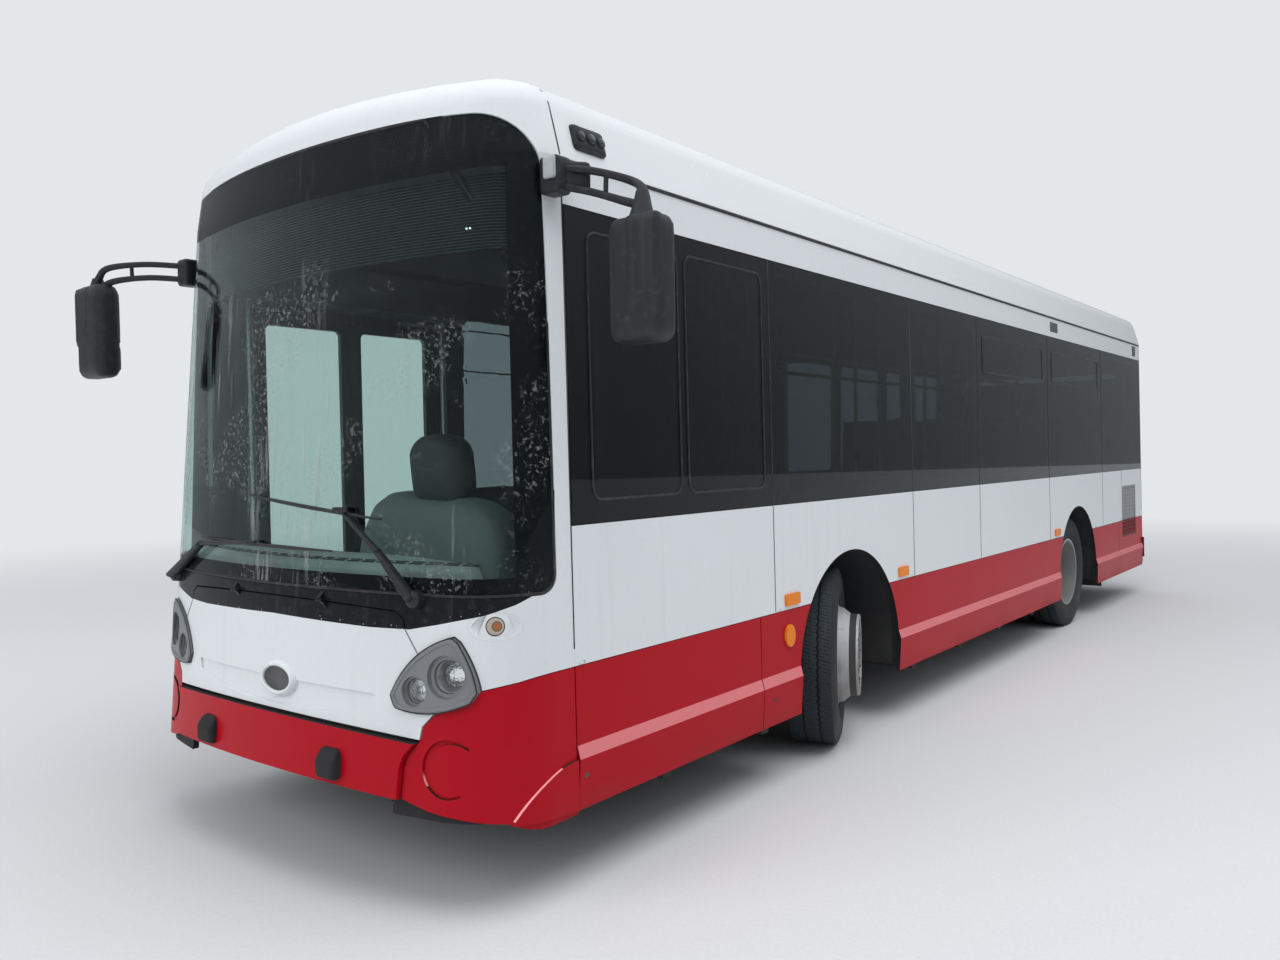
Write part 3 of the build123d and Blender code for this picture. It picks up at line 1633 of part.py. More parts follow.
DISPLAY_Z = (2380, 2660)
DISPLAY_BACK_Y = -4600
DISPLAY_EAR_Y = WINDSCREEN_SIDE_Y - WINDSCREEN_REST + 4
display_panel = skin(
    DISPLAY_OUT, DISPLAY_IN, span_block(FRONT_Y, DISPLAY_BACK_Y, *DISPLAY_Z)
)
display_ears = skin(CABIN, DISPLAY_IN, span_block(DISPLAY_EAR_Y, DISPLAY_BACK_Y, *DISPLAY_Z))
destination_display = join(display_panel, display_ears)
save(destination_display, "destination_display")


# Mirrors: bracket on the mask, two tubes and the head

def tube(radius, *points):
    with BuildPart() as pipe:
        with BuildLine() as path:
            Polyline(*points)
        start = Plane(origin=points[0], z_dir=path.wire().tangent_at(0))
        with BuildSketch(start):
            Circle(radius)
        sweep(path=path.wire(), transition=Transition.ROUND)
    return pipe.part


def mirror_head(centre, width, depth, low_z, high_z):
    with BuildPart() as head:
        with BuildSketch(Plane.XY.offset(low_z)):
            with Locations(centre):
                RectangleRounded(width, depth, 40)
        extrude(amount=high_z - low_z)
        fillet(head.edges().filter_by(Plane.XY), 30)
    return head.part


left_bracket = cut(bar_block(1120, 1215, -4620, -4530, 2560, 2700), BODY[-SEAT_GAP])
right_bracket = cut(bar_block(-1215, -1090, -4760, -4650, 2480, 2620), BODY[-SEAT_GAP])
MIRROR_TUBE_R = 14
mirrors = join(
    left_bracket.part,
    tube(MIRROR_TUBE_R, (1195, -4570, 2655), (1390, -4440, 2600), (1490, -4470, 2500)),
    tube(MIRROR_TUBE_R, (1195, -4570, 2590), (1350, -4470, 2548), (1490, -4470, 2450)),
    tube(26, (1490, -4470, 2520), (1500, -4490, 2400)),
    mirror_head((1505, -4505), 240, 130, 2005, 2450),
    right_bracket.part,
    tube(MIRROR_TUBE_R, (-1190, -4705, 2585), (-1420, -4990, 2560), (-1490, -4990, 2480)),
    tube(MIRROR_TUBE_R, (-1190, -4705, 2520), (-1400, -4950, 2500), (-1490, -4985, 2460)),
    mirror_head((-1505, -4985), 240, 130, 2040, 2500),
)
save(mirrors, "mirrors")


# Wipers: pivot on the mask, arm and blade lying along the foot of the windscreen

PIVOT_R = 24
WIPER_R = 10
BLADE_R = 8


def wiper(pivot, elbow, end, blade_from, blade_to):
    with BuildPart() as stub:
        with BuildSketch(Plane.XZ.offset(-pivot[1] - 90)):
            with Locations((pivot[0], pivot[2])):
                Circle(PIVOT_R)
        extrude(amount=108)
        add(BODY[-SEAT_GAP], mode=Mode.SUBTRACT)
    return [stub.part, tube(WIPER_R, pivot, elbow, end), tube(BLADE_R, blade_from, blade_to)]


wipers = join(
    *wiper(
        (790, -4972, 1118), (630, -4985, 1280), (413, -4998, 1432),
        (-228, -5000, 1486), (616, -4978, 1400),
    ),
    *wiper(
        (-958, -4936, 1100), (-575, -4996, 1268), (-159, -5028, 1286),
        (-640, -4994, 1290), (365, -5018, 1276),
    ),
)
save(wipers, "wipers")
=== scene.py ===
import math

import bmesh
import bpy
from mathutils import Matrix, Vector


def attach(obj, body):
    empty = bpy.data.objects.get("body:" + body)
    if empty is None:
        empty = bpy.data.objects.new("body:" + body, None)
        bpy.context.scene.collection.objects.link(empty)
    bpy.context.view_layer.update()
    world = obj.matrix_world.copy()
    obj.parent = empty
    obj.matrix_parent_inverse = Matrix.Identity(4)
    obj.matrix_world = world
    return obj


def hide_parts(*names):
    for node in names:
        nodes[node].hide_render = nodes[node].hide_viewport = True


# City bus, in metres. X to the bus's left (driver's) side, Y to the rear, Z up, ground at 0.
# Panels and mechanisms come from the solids; this file gives them their finish and adds the trim.
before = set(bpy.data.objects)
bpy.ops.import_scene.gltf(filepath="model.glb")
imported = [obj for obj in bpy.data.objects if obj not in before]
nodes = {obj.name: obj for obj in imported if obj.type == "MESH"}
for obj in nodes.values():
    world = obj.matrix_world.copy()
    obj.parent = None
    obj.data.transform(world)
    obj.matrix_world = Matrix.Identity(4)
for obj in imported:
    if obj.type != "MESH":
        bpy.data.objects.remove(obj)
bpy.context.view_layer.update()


# Viewpoint: standing off the front left corner at eye height, with a phone's wide lens. Where the
# eye is, and how far it is turned to its left, looks down and leans over, in degrees.
EYE, HEADING, LOOK_DOWN, LEAN = (3.6516, -7.2915, 1.6282), 37.924, 1.519, -1.007
camera = bpy.data.objects.new("camera", bpy.data.cameras.new("camera"))
bpy.context.scene.collection.objects.link(camera)
camera.data.sensor_width = 36
camera.data.lens = 28.42
camera.data.clip_end = 400
camera.matrix_world = (
    Matrix.Translation(EYE)
    @ Matrix.Rotation(math.radians(HEADING), 4, "Z")
    @ Matrix.Rotation(math.radians(90 - LOOK_DOWN), 4, "X")
    @ Matrix.Rotation(math.radians(LEAN), 4, "Z")
)
bpy.context.scene.camera = camera
bpy.context.scene.view_settings.view_transform = "Standard"


# Sky: an even overcast, pale where it is looked at and darker toward the ground where it is
# mirrored, so that white panels keep their form and the glass has something to reflect.
def feed(tree, socket, value):
    if isinstance(value, bpy.types.NodeSocket):
        tree.links.new(value, socket)
    elif isinstance(value, tuple) and len(value) == 3 and socket.type == "RGBA":
        socket.default_value = (*value, 1)
    else:
        socket.default_value = value


def reckon(tree, operation, *values):
    node = tree.nodes.new("ShaderNodeMath")
    node.operation = operation
    for socket, value in zip(node.inputs, values):
        feed(tree, socket, value)
    return node.outputs[0]


def blended(tree, mask, under, over):
    node = tree.nodes.new("ShaderNodeMix")
    node.data_type = "RGBA"
    feed(tree, node.inputs[0], mask)
    feed(tree, node.inputs[6], under)
    feed(tree, node.inputs[7], over)
    return node.outputs[2]


def fade(tree, value, low, high, start=0.0, end=1.0):
    node = tree.nodes.new("ShaderNodeMapRange")
    node.interpolation_type = "SMOOTHSTEP"
    for socket, given in zip(node.inputs, (value, low, high, start, end)):
        feed(tree, socket, given)
    return node.outputs[0]


def place_of(tree, kind="Object"):
    return tree.nodes.new("ShaderNodeTexCoord").outputs[kind]


def place_axes(tree, kind="Object"):
    axes = tree.nodes.new("ShaderNodeSeparateXYZ")
    tree.links.new(place_of(tree, kind), axes.inputs[0])
    return axes.outputs


def light_is(tree, *kinds):
    path = tree.nodes.new("ShaderNodeLightPath")
    return reckon(tree, "MAXIMUM", *[path.outputs["Is " + kind + " Ray"] for kind in kinds])


def mix_shaders(tree, share, first, second):
    node = tree.nodes.new("ShaderNodeMixShader")
    for socket, value in zip(node.inputs, (share, first, second)):
        tree.links.new(value, socket)
    return node.outputs[0]


PALE_SKY = (0.78, 0.80, 0.82, 1)
world = bpy.data.worlds.new("overcast_sky")
bpy.context.scene.world = world
world.use_nodes = True
sky = world.node_tree
sky.nodes.clear()
sky_high = fade(sky, place_axes(sky, "Generated")["Z"], -0.02, 0.62)
sky_tint = blended(sky, sky_high, (0.24, 0.25, 0.265), (1.10, 1.14, 1.20))
sky_light = sky.nodes.new("ShaderNodeBackground")
sky_light.inputs["Strength"].default_value = 0.64
sky.links.new(sky_tint, sky_light.inputs["Color"])
sky_view = sky.nodes.new("ShaderNodeBackground")
sky_view.inputs["Color"].default_value = PALE_SKY
sky_shown = mix_shaders(
    sky, light_is(sky, "Camera", "Transmission"), sky_light.outputs[0], sky_view.outputs[0]
)
sky_out = sky.nodes.new("ShaderNodeOutputWorld")
sky.links.new(sky_shown, sky_out.inputs["Surface"])


# Yard floor: plain pale concrete with a faint grain, fading into the sky a few metres off. Two
# large soft lights stand for the brighter parts of the sky.
def new_material(name):
    made = bpy.data.materials.new(name)
    made.use_nodes = True
    return made, made.node_tree, made.node_tree.nodes["Principled BSDF"]


def noise_in(tree, vector, scale, detail=3.0, rough=0.55):
    noise = tree.nodes.new("ShaderNodeTexNoise")
    noise.inputs["Detail"].default_value = detail
    noise.inputs["Roughness"].default_value = rough
    feed(tree, noise.inputs["Vector"], vector)
    feed(tree, noise.inputs["Scale"], scale)
    return noise.outputs["Fac"]


def vector_step(tree, operation, *values):
    node = tree.nodes.new("ShaderNodeVectorMath")
    node.operation = operation
    for socket, value in zip(node.inputs, values):
        feed(tree, socket, value)
    return node.outputs["Value"] if operation in ("DOT_PRODUCT", "LENGTH") else node.outputs[0]


FLOOR_HALF, FLOOR_CLEAR, FLOOR_GONE = 120.0, 5.0, 19.0
floor_mesh = bpy.data.meshes.new("yard_floor")
floor_mesh.from_pydata(
    [(x * FLOOR_HALF, y * FLOOR_HALF, 0) for x, y in ((-1, -1), (1, -1), (1, 1), (-1, 1))],
    [], [(0, 1, 2, 3)],
)
yard_floor = bpy.data.objects.new("yard_floor", floor_mesh)
bpy.context.scene.collection.objects.link(yard_floor)
floor_paint, floor_tree, floor_shader = new_material("pale_floor")
floor_grain = noise_in(floor_tree, place_of(floor_tree), 60.0, 2.0, 0.5)
floor_tint = blended(floor_tree, floor_grain, (0.60, 0.61, 0.62), (0.68, 0.69, 0.70))
floor_tree.links.new(floor_tint, floor_shader.inputs["Base Color"])
floor_shader.inputs["Roughness"].default_value = 0.85
floor_haze = floor_tree.nodes.new("ShaderNodeEmission")
floor_haze.inputs["Color"].default_value = PALE_SKY
floor_reach = vector_step(floor_tree, "LENGTH", place_of(floor_tree))
floor_far = reckon(
    floor_tree, "MULTIPLY", fade(floor_tree, floor_reach, FLOOR_CLEAR, FLOOR_GONE),
    light_is(floor_tree, "Camera", "Transmission"),
)
floor_tree.links.new(
    mix_shaders(floor_tree, floor_far, floor_shader.outputs[0], floor_haze.outputs[0]),
    floor_tree.nodes["Material Output"].inputs["Surface"],
)
floor_mesh.materials.append(floor_paint)


def soft_light(name, place, aim, size, watts):
    """A round light that shows neither in the glass nor in the paint."""
    lamp = bpy.data.lights.new(name, "AREA")
    lamp.shape = "DISK"
    lamp.size = size
    lamp.energy = watts
    carrier = bpy.data.objects.new(name, lamp)
    bpy.context.scene.collection.objects.link(carrier)
    carrier.location = place
    carrier.visible_glossy = False
    carrier.visible_transmission = False
    carrier.rotation_euler = (Vector(aim) - Vector(place)).to_track_quat("-Z", "Y").to_euler()


soft_light("overhead_light", (5.0, -3.0, 13.0), (0, 0, 1.2), 12.0, 1150)
soft_light("front_fill_light", (-5.0, -15.0, 7.0), (0, -3, 1.2), 8.0, 620)


# Painted body panels: glass-fibre and aluminium mouldings in gloss white, weathered and dusty
# near the road, black behind the glazing and around the foot of the windscreen, and grey inside,
# darkened there as painted shade of the dim cabin.
def new_group(name, inputs, outputs):
    group = bpy.data.node_groups.new(name, "ShaderNodeTree")
    for label, kind, value in inputs:
        socket = group.interface.new_socket(label, in_out="INPUT", socket_type=kind)
        socket.default_value = value
    for label, kind in outputs:
        group.interface.new_socket(label, in_out="OUTPUT", socket_type=kind)
    return group, group.nodes.new("NodeGroupInput"), group.nodes.new("NodeGroupOutput")


def chained(tree, operation, first, *others):
    for other in others:
        first = reckon(tree, operation, first, other)
    return first


FLOAT = "NodeSocketFloat"
# Soiling: road film that thickens toward the ground, rain streaks that run down, and mottling
soiling, soil_in, soil_out = new_group(
    "soiling",
    [("Reach", FLOAT, 1.0), ("Streaks", FLOAT, 0.2), ("Mottle", FLOAT, 0.2)],
    [("Dirt", FLOAT), ("Gloss Loss", FLOAT)],
)
soil_place = place_of(soiling)
near_road = fade(soiling, place_axes(soiling)["Z"], soil_in.outputs["Reach"], 0.15)
patchy = fade(soiling, noise_in(soiling, soil_place, 2.6, 5.0), 0.25, 0.75)
upright = vector_step(soiling, "MULTIPLY", soil_place, (22, 22, 0.7))
run_down = fade(soiling, noise_in(soiling, upright, 1.0), 0.56, 0.78)
specks = fade(soiling, noise_in(soiling, soil_place, 34.0, 4.0), 0.5, 0.85)
dirt = chained(
    soiling, "MAXIMUM", reckon(soiling, "MULTIPLY", near_road, patchy),
    reckon(soiling, "MULTIPLY", run_down, soil_in.outputs["Streaks"]),
    reckon(soiling, "MULTIPLY", specks, soil_in.outputs["Mottle"]),
)
soiling.links.new(dirt, soil_out.inputs["Dirt"])
soiling.links.new(reckon(soiling, "MULTIPLY", dirt, 0.5), soil_out.inputs["Gloss Loss"])

# Skin relief: the fine grain of a moulding and the slow waves of sheet metal
relief, relief_in, relief_out = new_group(
    "skin_relief",
    [("Grain Size", FLOAT, 900.0), ("Grain", FLOAT, 0.2), ("Wave", FLOAT, 0.5)],
    [("Height", FLOAT)],
)
grains = noise_in(relief, place_of(relief), relief_in.outputs["Grain Size"], 2.0)
waves = noise_in(relief, place_of(relief), 1.7, 1.0)
relief_height = reckon(
    relief, "ADD", reckon(relief, "MULTIPLY", grains, relief_in.outputs["Grain"]),
    reckon(relief, "MULTIPLY", waves, relief_in.outputs["Wave"]),
)
relief.links.new(relief_height, relief_out.inputs["Height"])

# Inner side: 1 on faces that look toward the cabin's middle line
inner_side, _, inner_out = new_group("inner_side", [], [("Mask", FLOAT)])
CABIN_MIDDLE = (0, 0, 1.6)
from_middle = vector_step(inner_side, "SUBTRACT", place_of(inner_side), CABIN_MIDDLE)
facing = vector_step(inner_side, "DOT_PRODUCT", place_of(inner_side, "Normal"), from_middle)
inner_side.links.new(reckon(inner_side, "LESS_THAN", facing, -0.02), inner_out.inputs["Mask"])


def use_group(tree, group, **values):
    node = tree.nodes.new("ShaderNodeGroup")
    node.node_tree = group
    for label, value in values.items():
        feed(tree, node.inputs[label.replace("_", " ").title()], value)
    return node


def emboss(tree, shader, height, depth):
    """Raises a height on top of what the shader's normal already has."""
    bump = tree.nodes.new("ShaderNodeBump")
    bump.inputs["Distance"].default_value = depth
    tree.links.new(height, bump.inputs["Height"])
    for link in shader.inputs["Normal"].links:
        tree.links.new(link.from_socket, bump.inputs["Normal"])
    tree.links.new(bump.outputs[0], shader.inputs["Normal"])


def finish(name, colour, soil, dull, reach=0.9, streaks=0.15, mottle=0.15, grain_size=900.0,
           grain=0.2, wave=0.0, depth=0.0004, metal=0.0, coat=0.0, shine=0.5, zones=()):
    """A finish: its colour, the colour of what soils it, how dull it is, and its zones."""
    made, tree, shader = new_material(name)
    shader.inputs["Metallic"].default_value = metal
    shader.inputs["Coat Weight"].default_value = coat
    shader.inputs["Coat Roughness"].default_value = 0.06
    shader.inputs["Specular IOR Level"].default_value = shine
    base, rough = colour, dull
    for mask_of, zone_colour, zone_dull in zones:
        mask = mask_of(tree)
        base = blended(tree, mask, base, zone_colour)
        rough_node = tree.nodes.new("ShaderNodeMix")
        feed(tree, rough_node.inputs[0], mask)
        feed(tree, rough_node.inputs[2], rough)
        feed(tree, rough_node.inputs[3], zone_dull)
        rough = rough_node.outputs[0]
    soil_node = use_group(tree, soiling, reach=reach, streaks=streaks, mottle=mottle)
    soiled = blended(tree, soil_node.outputs["Dirt"], base, soil)
    tree.links.new(soiled, shader.inputs["Base Color"])
    rough = reckon(tree, "ADD", soil_node.outputs["Gloss Loss"], rough)
    tree.links.new(rough, shader.inputs["Roughness"])
    relief_node = use_group(tree, relief, grain_size=grain_size, grain=grain, wave=wave)
    emboss(tree, shader, relief_node.outputs["Height"], depth)
    return made


def dress(material, *names):
    for name in names:
        mesh = nodes[name].data
        if mesh.materials:
            for number in range(len(mesh.materials)):
                mesh.materials[number] = material
        else:
            mesh.materials.append(material)


# Masks: where a place along an axis is below, above or between heights, or in even stripes
def between(tree, value, low, high):
    return reckon(tree, "MULTIPLY", reckon(tree, "GREATER_THAN", value, low),
                  reckon(tree, "LESS_THAN", value, high))


def below(axis, edge):
    return lambda tree: reckon(tree, "LESS_THAN", place_axes(tree)[axis], edge)


def above(axis, edge):
    return lambda tree: reckon(tree, "GREATER_THAN", place_axes(tree)[axis], edge)


def within(axis, low, high):
    return lambda tree: between(tree, place_axes(tree)[axis], low, high)


def stripes(axis, pitch, share):
    def mask(tree):
        steps = reckon(tree, "DIVIDE", place_axes(tree)[axis], pitch)
        return reckon(tree, "LESS_THAN", reckon(tree, "FRACT", steps), share)
    return mask


def inside_mask(tree):
    return use_group(tree, inner_side).outputs["Mask"]


# The groove across the flap: half its length, its foot and head, and how far back its walls go
GROOVE_REACH, GROOVE_FOOT, GROOVE_HEAD, GROOVE_BACK = 0.63, 0.655, 0.785, -4.98


def front_back_mask(tree):
    """The back of the front mouldings, leaving out the walls of the groove across the flap."""
    x, y, z = place_axes(tree)
    clear = chained(
        tree, "MAXIMUM",
        reckon(tree, "GREATER_THAN", reckon(tree, "ABSOLUTE", x), GROOVE_REACH),
        reckon(tree, "GREATER_THAN", z, GROOVE_HEAD), reckon(tree, "LESS_THAN", z, GROOVE_FOOT),
        reckon(tree, "GREATER_THAN", y, GROOVE_BACK),
    )
    return reckon(tree, "MULTIPLY", inside_mask(tree), clear)


# Lower edge of the black front: way round the corner from the middle, and height. Both are
# divided by the span, because a ramp runs from 0 to 1. The corner begins 4.85 m from the origin.
BLACK_EDGE = (
    (0.0, 1.015), (0.574, 1.004), (0.762, 1.008), (0.889, 1.033), (1.032, 1.064),
    (1.206, 1.101), (1.302, 1.131), (1.365, 1.176), (1.406, 1.216), (1.412, 1.5),
)
EDGE_SPAN, CORNER_START, GLAZED_FROM = 1.5, 4.85, 1.5


def front_black_mask(tree):
    x, y, z = place_axes(tree)
    round_corner = reckon(tree, "MAXIMUM", reckon(tree, "ADD", y, CORNER_START), 0.0)
    way = reckon(tree, "ADD", reckon(tree, "ABSOLUTE", x), round_corner)
    ramp = tree.nodes.new("ShaderNodeValToRGB")
    stops = ramp.color_ramp.elements
    for number, (along, height) in enumerate(BLACK_EDGE):
        stop = stops[number] if number < 2 else stops.new(along / EDGE_SPAN)
        stop.position = along / EDGE_SPAN
        share = height / EDGE_SPAN
        stop.color = (share, share, share, 1)
    tree.links.new(reckon(tree, "DIVIDE", way, EDGE_SPAN), ramp.inputs[0])
    edge = reckon(tree, "MULTIPLY", ramp.outputs[0], EDGE_SPAN)
    chips = noise_in(tree, place_of(tree), 90.0, 2.0)
    chipped = fade(tree, chips, 0.70, 0.72, 0.0, 0.02)
    return reckon(
        tree, "MULTIPLY",
        reckon(tree, "GREATER_THAN", reckon(tree, "SUBTRACT", z, chipped), edge),
        reckon(tree, "LESS_THAN", z, GLAZED_FROM),
    )


# Wheel arches of the wall: their middles along the bus, half length and head. Their turned-in
# edges are sprayed black.
ARCH_MIDDLES, ARCH_HALF, ARCH_HEAD = (-2.215, 2.35), 0.72, 1.12


def arch_edge_mask(tree):
    sideways = reckon(tree, "ABSOLUTE", place_axes(tree, "Normal")["X"])
    _, y, z = place_axes(tree)
    near = [
        reckon(tree, "LESS_THAN", reckon(tree, "ABSOLUTE", reckon(tree, "SUBTRACT", y, middle)),
               ARCH_HALF)
        for middle in ARCH_MIDDLES
    ]
    return chained(
        tree, "MULTIPLY", reckon(tree, "LESS_THAN", sideways, 0.5),
        reckon(tree, "MAXIMUM", *near), reckon(tree, "LESS_THAN", z, ARCH_HEAD),
    )


WHITE = (0.74, 0.765, 0.78)
ROAD_FILM = (0.36, 0.34, 0.31)
GLAZING_BLACK = (0.012, 0.013, 0.016)
# Inner faces of the walls: a grey darkened below its own tone, as painted shade of the dim cabin
SHADED_LINER_GREY = (0.10, 0.105, 0.11)
# The glazing band of the side walls, where the panes lie on black, and the head of the bare
# frame that the skirts cover
BAND_FOOT, BAND_HEAD, FRAME_HEAD = 1.363, 2.550, 0.8435
white_wall = finish(
    "white_wall_paint", WHITE, ROAD_FILM, 0.22, reach=0.20, streaks=0.10, mottle=0.06,
    grain_size=420.0, grain=0.12, wave=1.0, depth=0.0012, coat=0.05, shine=0.16,
    zones=((within("Z", BAND_FOOT, BAND_HEAD), GLAZING_BLACK, 0.12),
           (inside_mask, SHADED_LINER_GREY, 0.55), (below("Z", FRAME_HEAD), (0.03, 0.03, 0.032), 0.7),
           (arch_edge_mask, (0.025, 0.026, 0.028), 0.6)),
)
white_front = finish(
    "white_front_paint", WHITE, ROAD_FILM, 0.22, reach=0.20, streaks=0.08, mottle=0.08,
    grain_size=420.0, grain=0.12, wave=0.6, depth=0.0012, coat=0.03, shine=0.12,
    zones=((front_black_mask, GLAZING_BLACK, 0.10), (front_back_mask, (0.03, 0.032, 0.034), 0.6)),
)
# The roof's inner face is a grey darkened as painted shade of the dim cabin.
white_roof = finish(
    "white_roof_paint", WHITE, (0.52, 0.52, 0.50), 0.26, reach=0.75, streaks=0.02, mottle=0.05,
    grain_size=420.0, grain=0.10, wave=0.4, depth=0.0008, coat=0.5,
    zones=((inside_mask, (0.16, 0.165, 0.165), 0.55),),
)
dress(white_wall, "left_wall", "right_wall")
dress(white_front, "front_mask", "front_flap")
dress(white_roof, "roof", "rear_wall", "roof_hatches")


# Panel seams and gutters: black sealant beads where the wall panels meet and round the front
# and rear ends, and a rubber gutter along each roof edge.
def touch(parts, start, aim):
    """The point and normal where a straight look from start first meets these nodes, or None."""
    start = Vector(start)
    hits = [nodes[part].ray_cast(start, Vector(aim)) for part in parts.split()]
    hits = [(place, normal) for met, place, normal, _ in hits if met]
    return min(hits, key=lambda hit: (hit[0] - start).length) if hits else None


# How far from the origin a look starts that comes in from a side, or from the front or rear
SIDE_LOOK, END_LOOK = 1.4, 5.3


def from_side(parts, side, y, z):
    return touch(parts, (side * SIDE_LOOK, y, z), (-side, 0, 0))


def from_end(parts, end, x, z):
    return touch(parts, (x, end * END_LOOK, z), (0, -end, 0))


def spread(low, high, count):
    return [low + (high - low) * step / count for step in range(count + 1)]


def new_piece(name, parts, material, slot, body="body", smooth=True):
    """A piece made of one or more shapes, each given as its points and faces."""
    points, faces = [], []
    for some_points, some_faces in parts:
        faces += [tuple(corner + len(points) for corner in face) for face in some_faces]
        points += [tuple(point) for point in some_points]
    mesh = bpy.data.meshes.new(name)
    mesh.from_pydata(points, [], faces)
    mesh.validate()
    mesh.polygons.foreach_set("use_smooth", [smooth] * len(mesh.polygons))
    mesh.materials.append(material)
    made = bpy.data.objects.new(name, mesh)
    bpy.context.scene.collection.objects.link(made)
    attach(made, body)
    return made


def bead(line, width, proud, closed=False):
    """Points and faces of a low bead along a line of (place, normal)."""
    points, faces = [], []
    count = len(line)
    for number, (place, normal) in enumerate(line):
        before = line[number - 1][0] if number or closed else place
        after = line[(number + 1) % count][0] if number < count - 1 or closed else place
        across = (after - before).cross(normal).normalized() * width / 2
        points += [
            place - across - normal * 0.001, place - across * 0.8 + normal * proud,
            place + across * 0.8 + normal * proud, place + across - normal * 0.001,
        ]
    for number in range(count if closed else count - 1):
        here, there = 4 * number, 4 * ((number + 1) % count)
        for corner in range(3):
            faces.append((here + corner, there + corner, there + corner + 1, here + corner + 1))
    if not closed:
        faces += [(0, 1, 2, 3), tuple(4 * count - 4 + corner for corner in (3, 2, 1, 0))]
    return points, faces


sealant = finish(
    "black_sealant", (0.018, 0.018, 0.020), ROAD_FILM, 0.55, reach=0.8, streaks=0.2,
    mottle=0.3, grain_size=700.0, grain=0.5, depth=0.0006,
)
SIDES = ((1, "left_wall"), (-1, "right_wall"))
WALL_SEAMS = {
    1: (-3.048, -1.364, -0.186, 1.485, 3.230, 4.0), -1: (-3.048, -1.364, 2.112, 3.230, 4.0),
}
WAIST, SILL, GUTTER = 0.848, 1.361, 2.712
GUTTER_FORE, GUTTER_AFT = -4.500, 4.890
# The rear arch, which a seam stops short of: its middle's height and the distance kept from it
ARCH_MIDDLE_Z, ARCH_CLEAR = 0.48, 0.61

seam_parts, gutter_parts = [], []
for side, wall in SIDES:
    for along in WALL_SEAMS[side]:
        line = [
            from_side(wall, side, along, height) for height in spread(WAIST, SILL, 12)
            if math.hypot(along - ARCH_MIDDLES[1], height - ARCH_MIDDLE_Z) > ARCH_CLEAR
        ]
        seam_parts.append(bead(line, 0.006, 0.0012))
    line = [from_side(wall, side, along, GUTTER) for along in spread(GUTTER_FORE, GUTTER_AFT, 40)]
    gutter_parts.append(bead(line, 0.016, 0.005))
new_piece("wall_seams", seam_parts, sealant, "black_rubber")
new_piece("roof_gutters", gutter_parts, sealant, "black_rubber")


def round_the_body(along, part):
    """A line up one side, over the roof and down the other."""
    line = []
    for degrees in spread(-128, 128, 120):
        turn = math.radians(degrees)
        aim = Vector((-math.sin(turn), 0, -math.cos(turn)))
        met = touch(part, Vector((0, along, 1.75)) - aim * 3.0, aim)
        if met and met[0].z > 0.86:
            line.append(met)
    return line


mask_seam = bead(round_the_body(-4.512, "front_mask"), 0.007, 0.0015)
rear_seam = bead(round_the_body(4.906, "rear_wall"), 0.006, 0.0012)
new_piece("mask_seam", [mask_seam], sealant, "black_rubber")
new_piece("rear_seam", [rear_seam], sealant, "black_rubber")


# Pale red mouldings: skirts along both sides, the front bumper in three lengths and the rear
# bumper, all sprayed glass fibre and filmed with road dirt low down.
RED = (0.43, 0.005, 0.014)


def sky_highlight_ledge_mask(tree):
    """Ledges that look upward, painted a lighter pink as a painted highlight of the bright sky they
    face.
    """
    return fade(tree, place_axes(tree, "Normal")["Z"], 0.16, 0.42)


# The light pink on upward-facing ledges is a painted highlight of the sky, not a colour of the red
# itself.
red_paint = finish(
    "red_paint", RED, (0.22, 0.04, 0.038), 0.30, reach=0.42, streaks=0.05, mottle=0.07,
    grain_size=420.0, grain=0.10, wave=0.5, depth=0.0010, coat=0.04, shine=0.08,
    zones=((sky_highlight_ledge_mask, (1.0, 0.42, 0.44), 0.34), (inside_mask, (0.03, 0.03, 0.03), 0.6),
           (arch_edge_mask, (0.022, 0.023, 0.025), 0.6)),
)
dress(red_paint, "side_skirts", "front_bumper", "rear_bumper")

# Two rubber guards on the front bumper, black and grey with age
guard_rubber = finish(
    "guard_rubber", (0.014, 0.015, 0.017), (0.06, 0.058, 0.055), 0.55, reach=0.7, streaks=0.1,
    mottle=0.3, grain_size=320.0, grain=0.7, depth=0.0010, shine=0.3,
)
dress(guard_rubber, "bumper_guards")


# Side and rear glazing: dark tinted panes bonded on a black border, with the frames of the
# driver's sliding pane and of two hopper windows let into them.
def rain_marks(tree):
    """Dried drops in patches, with fine trails between, that fade out under the roof's edge."""
    place = place_of(tree)
    drops = fade(tree, noise_in(tree, place, 56.0, 6.0, 0.72), 0.545, 0.615)
    drop_patches = fade(tree, noise_in(tree, place, 2.6, 2.0), 0.46, 0.60)
    upright = vector_step(tree, "MULTIPLY", place, (38, 38, 1.3))
    trails = fade(tree, noise_in(tree, upright, 1.0, 4.0), 0.54, 0.64)
    broad = vector_step(tree, "MULTIPLY", place, (2.2, 1, 0.6))
    trail_patches = fade(tree, noise_in(tree, broad, 1.0, 1.0), 0.50, 0.60)
    marks = reckon(
        tree, "MAXIMUM", reckon(tree, "MULTIPLY", drops, drop_patches),
        reckon(tree, "MULTIPLY", trails, trail_patches),
    )
    sheltered = fade(tree, place_axes(tree)["Z"], 2.20, 2.55, 1.0, 0.10)
    return reckon(tree, "MULTIPLY", marks, sheltered)


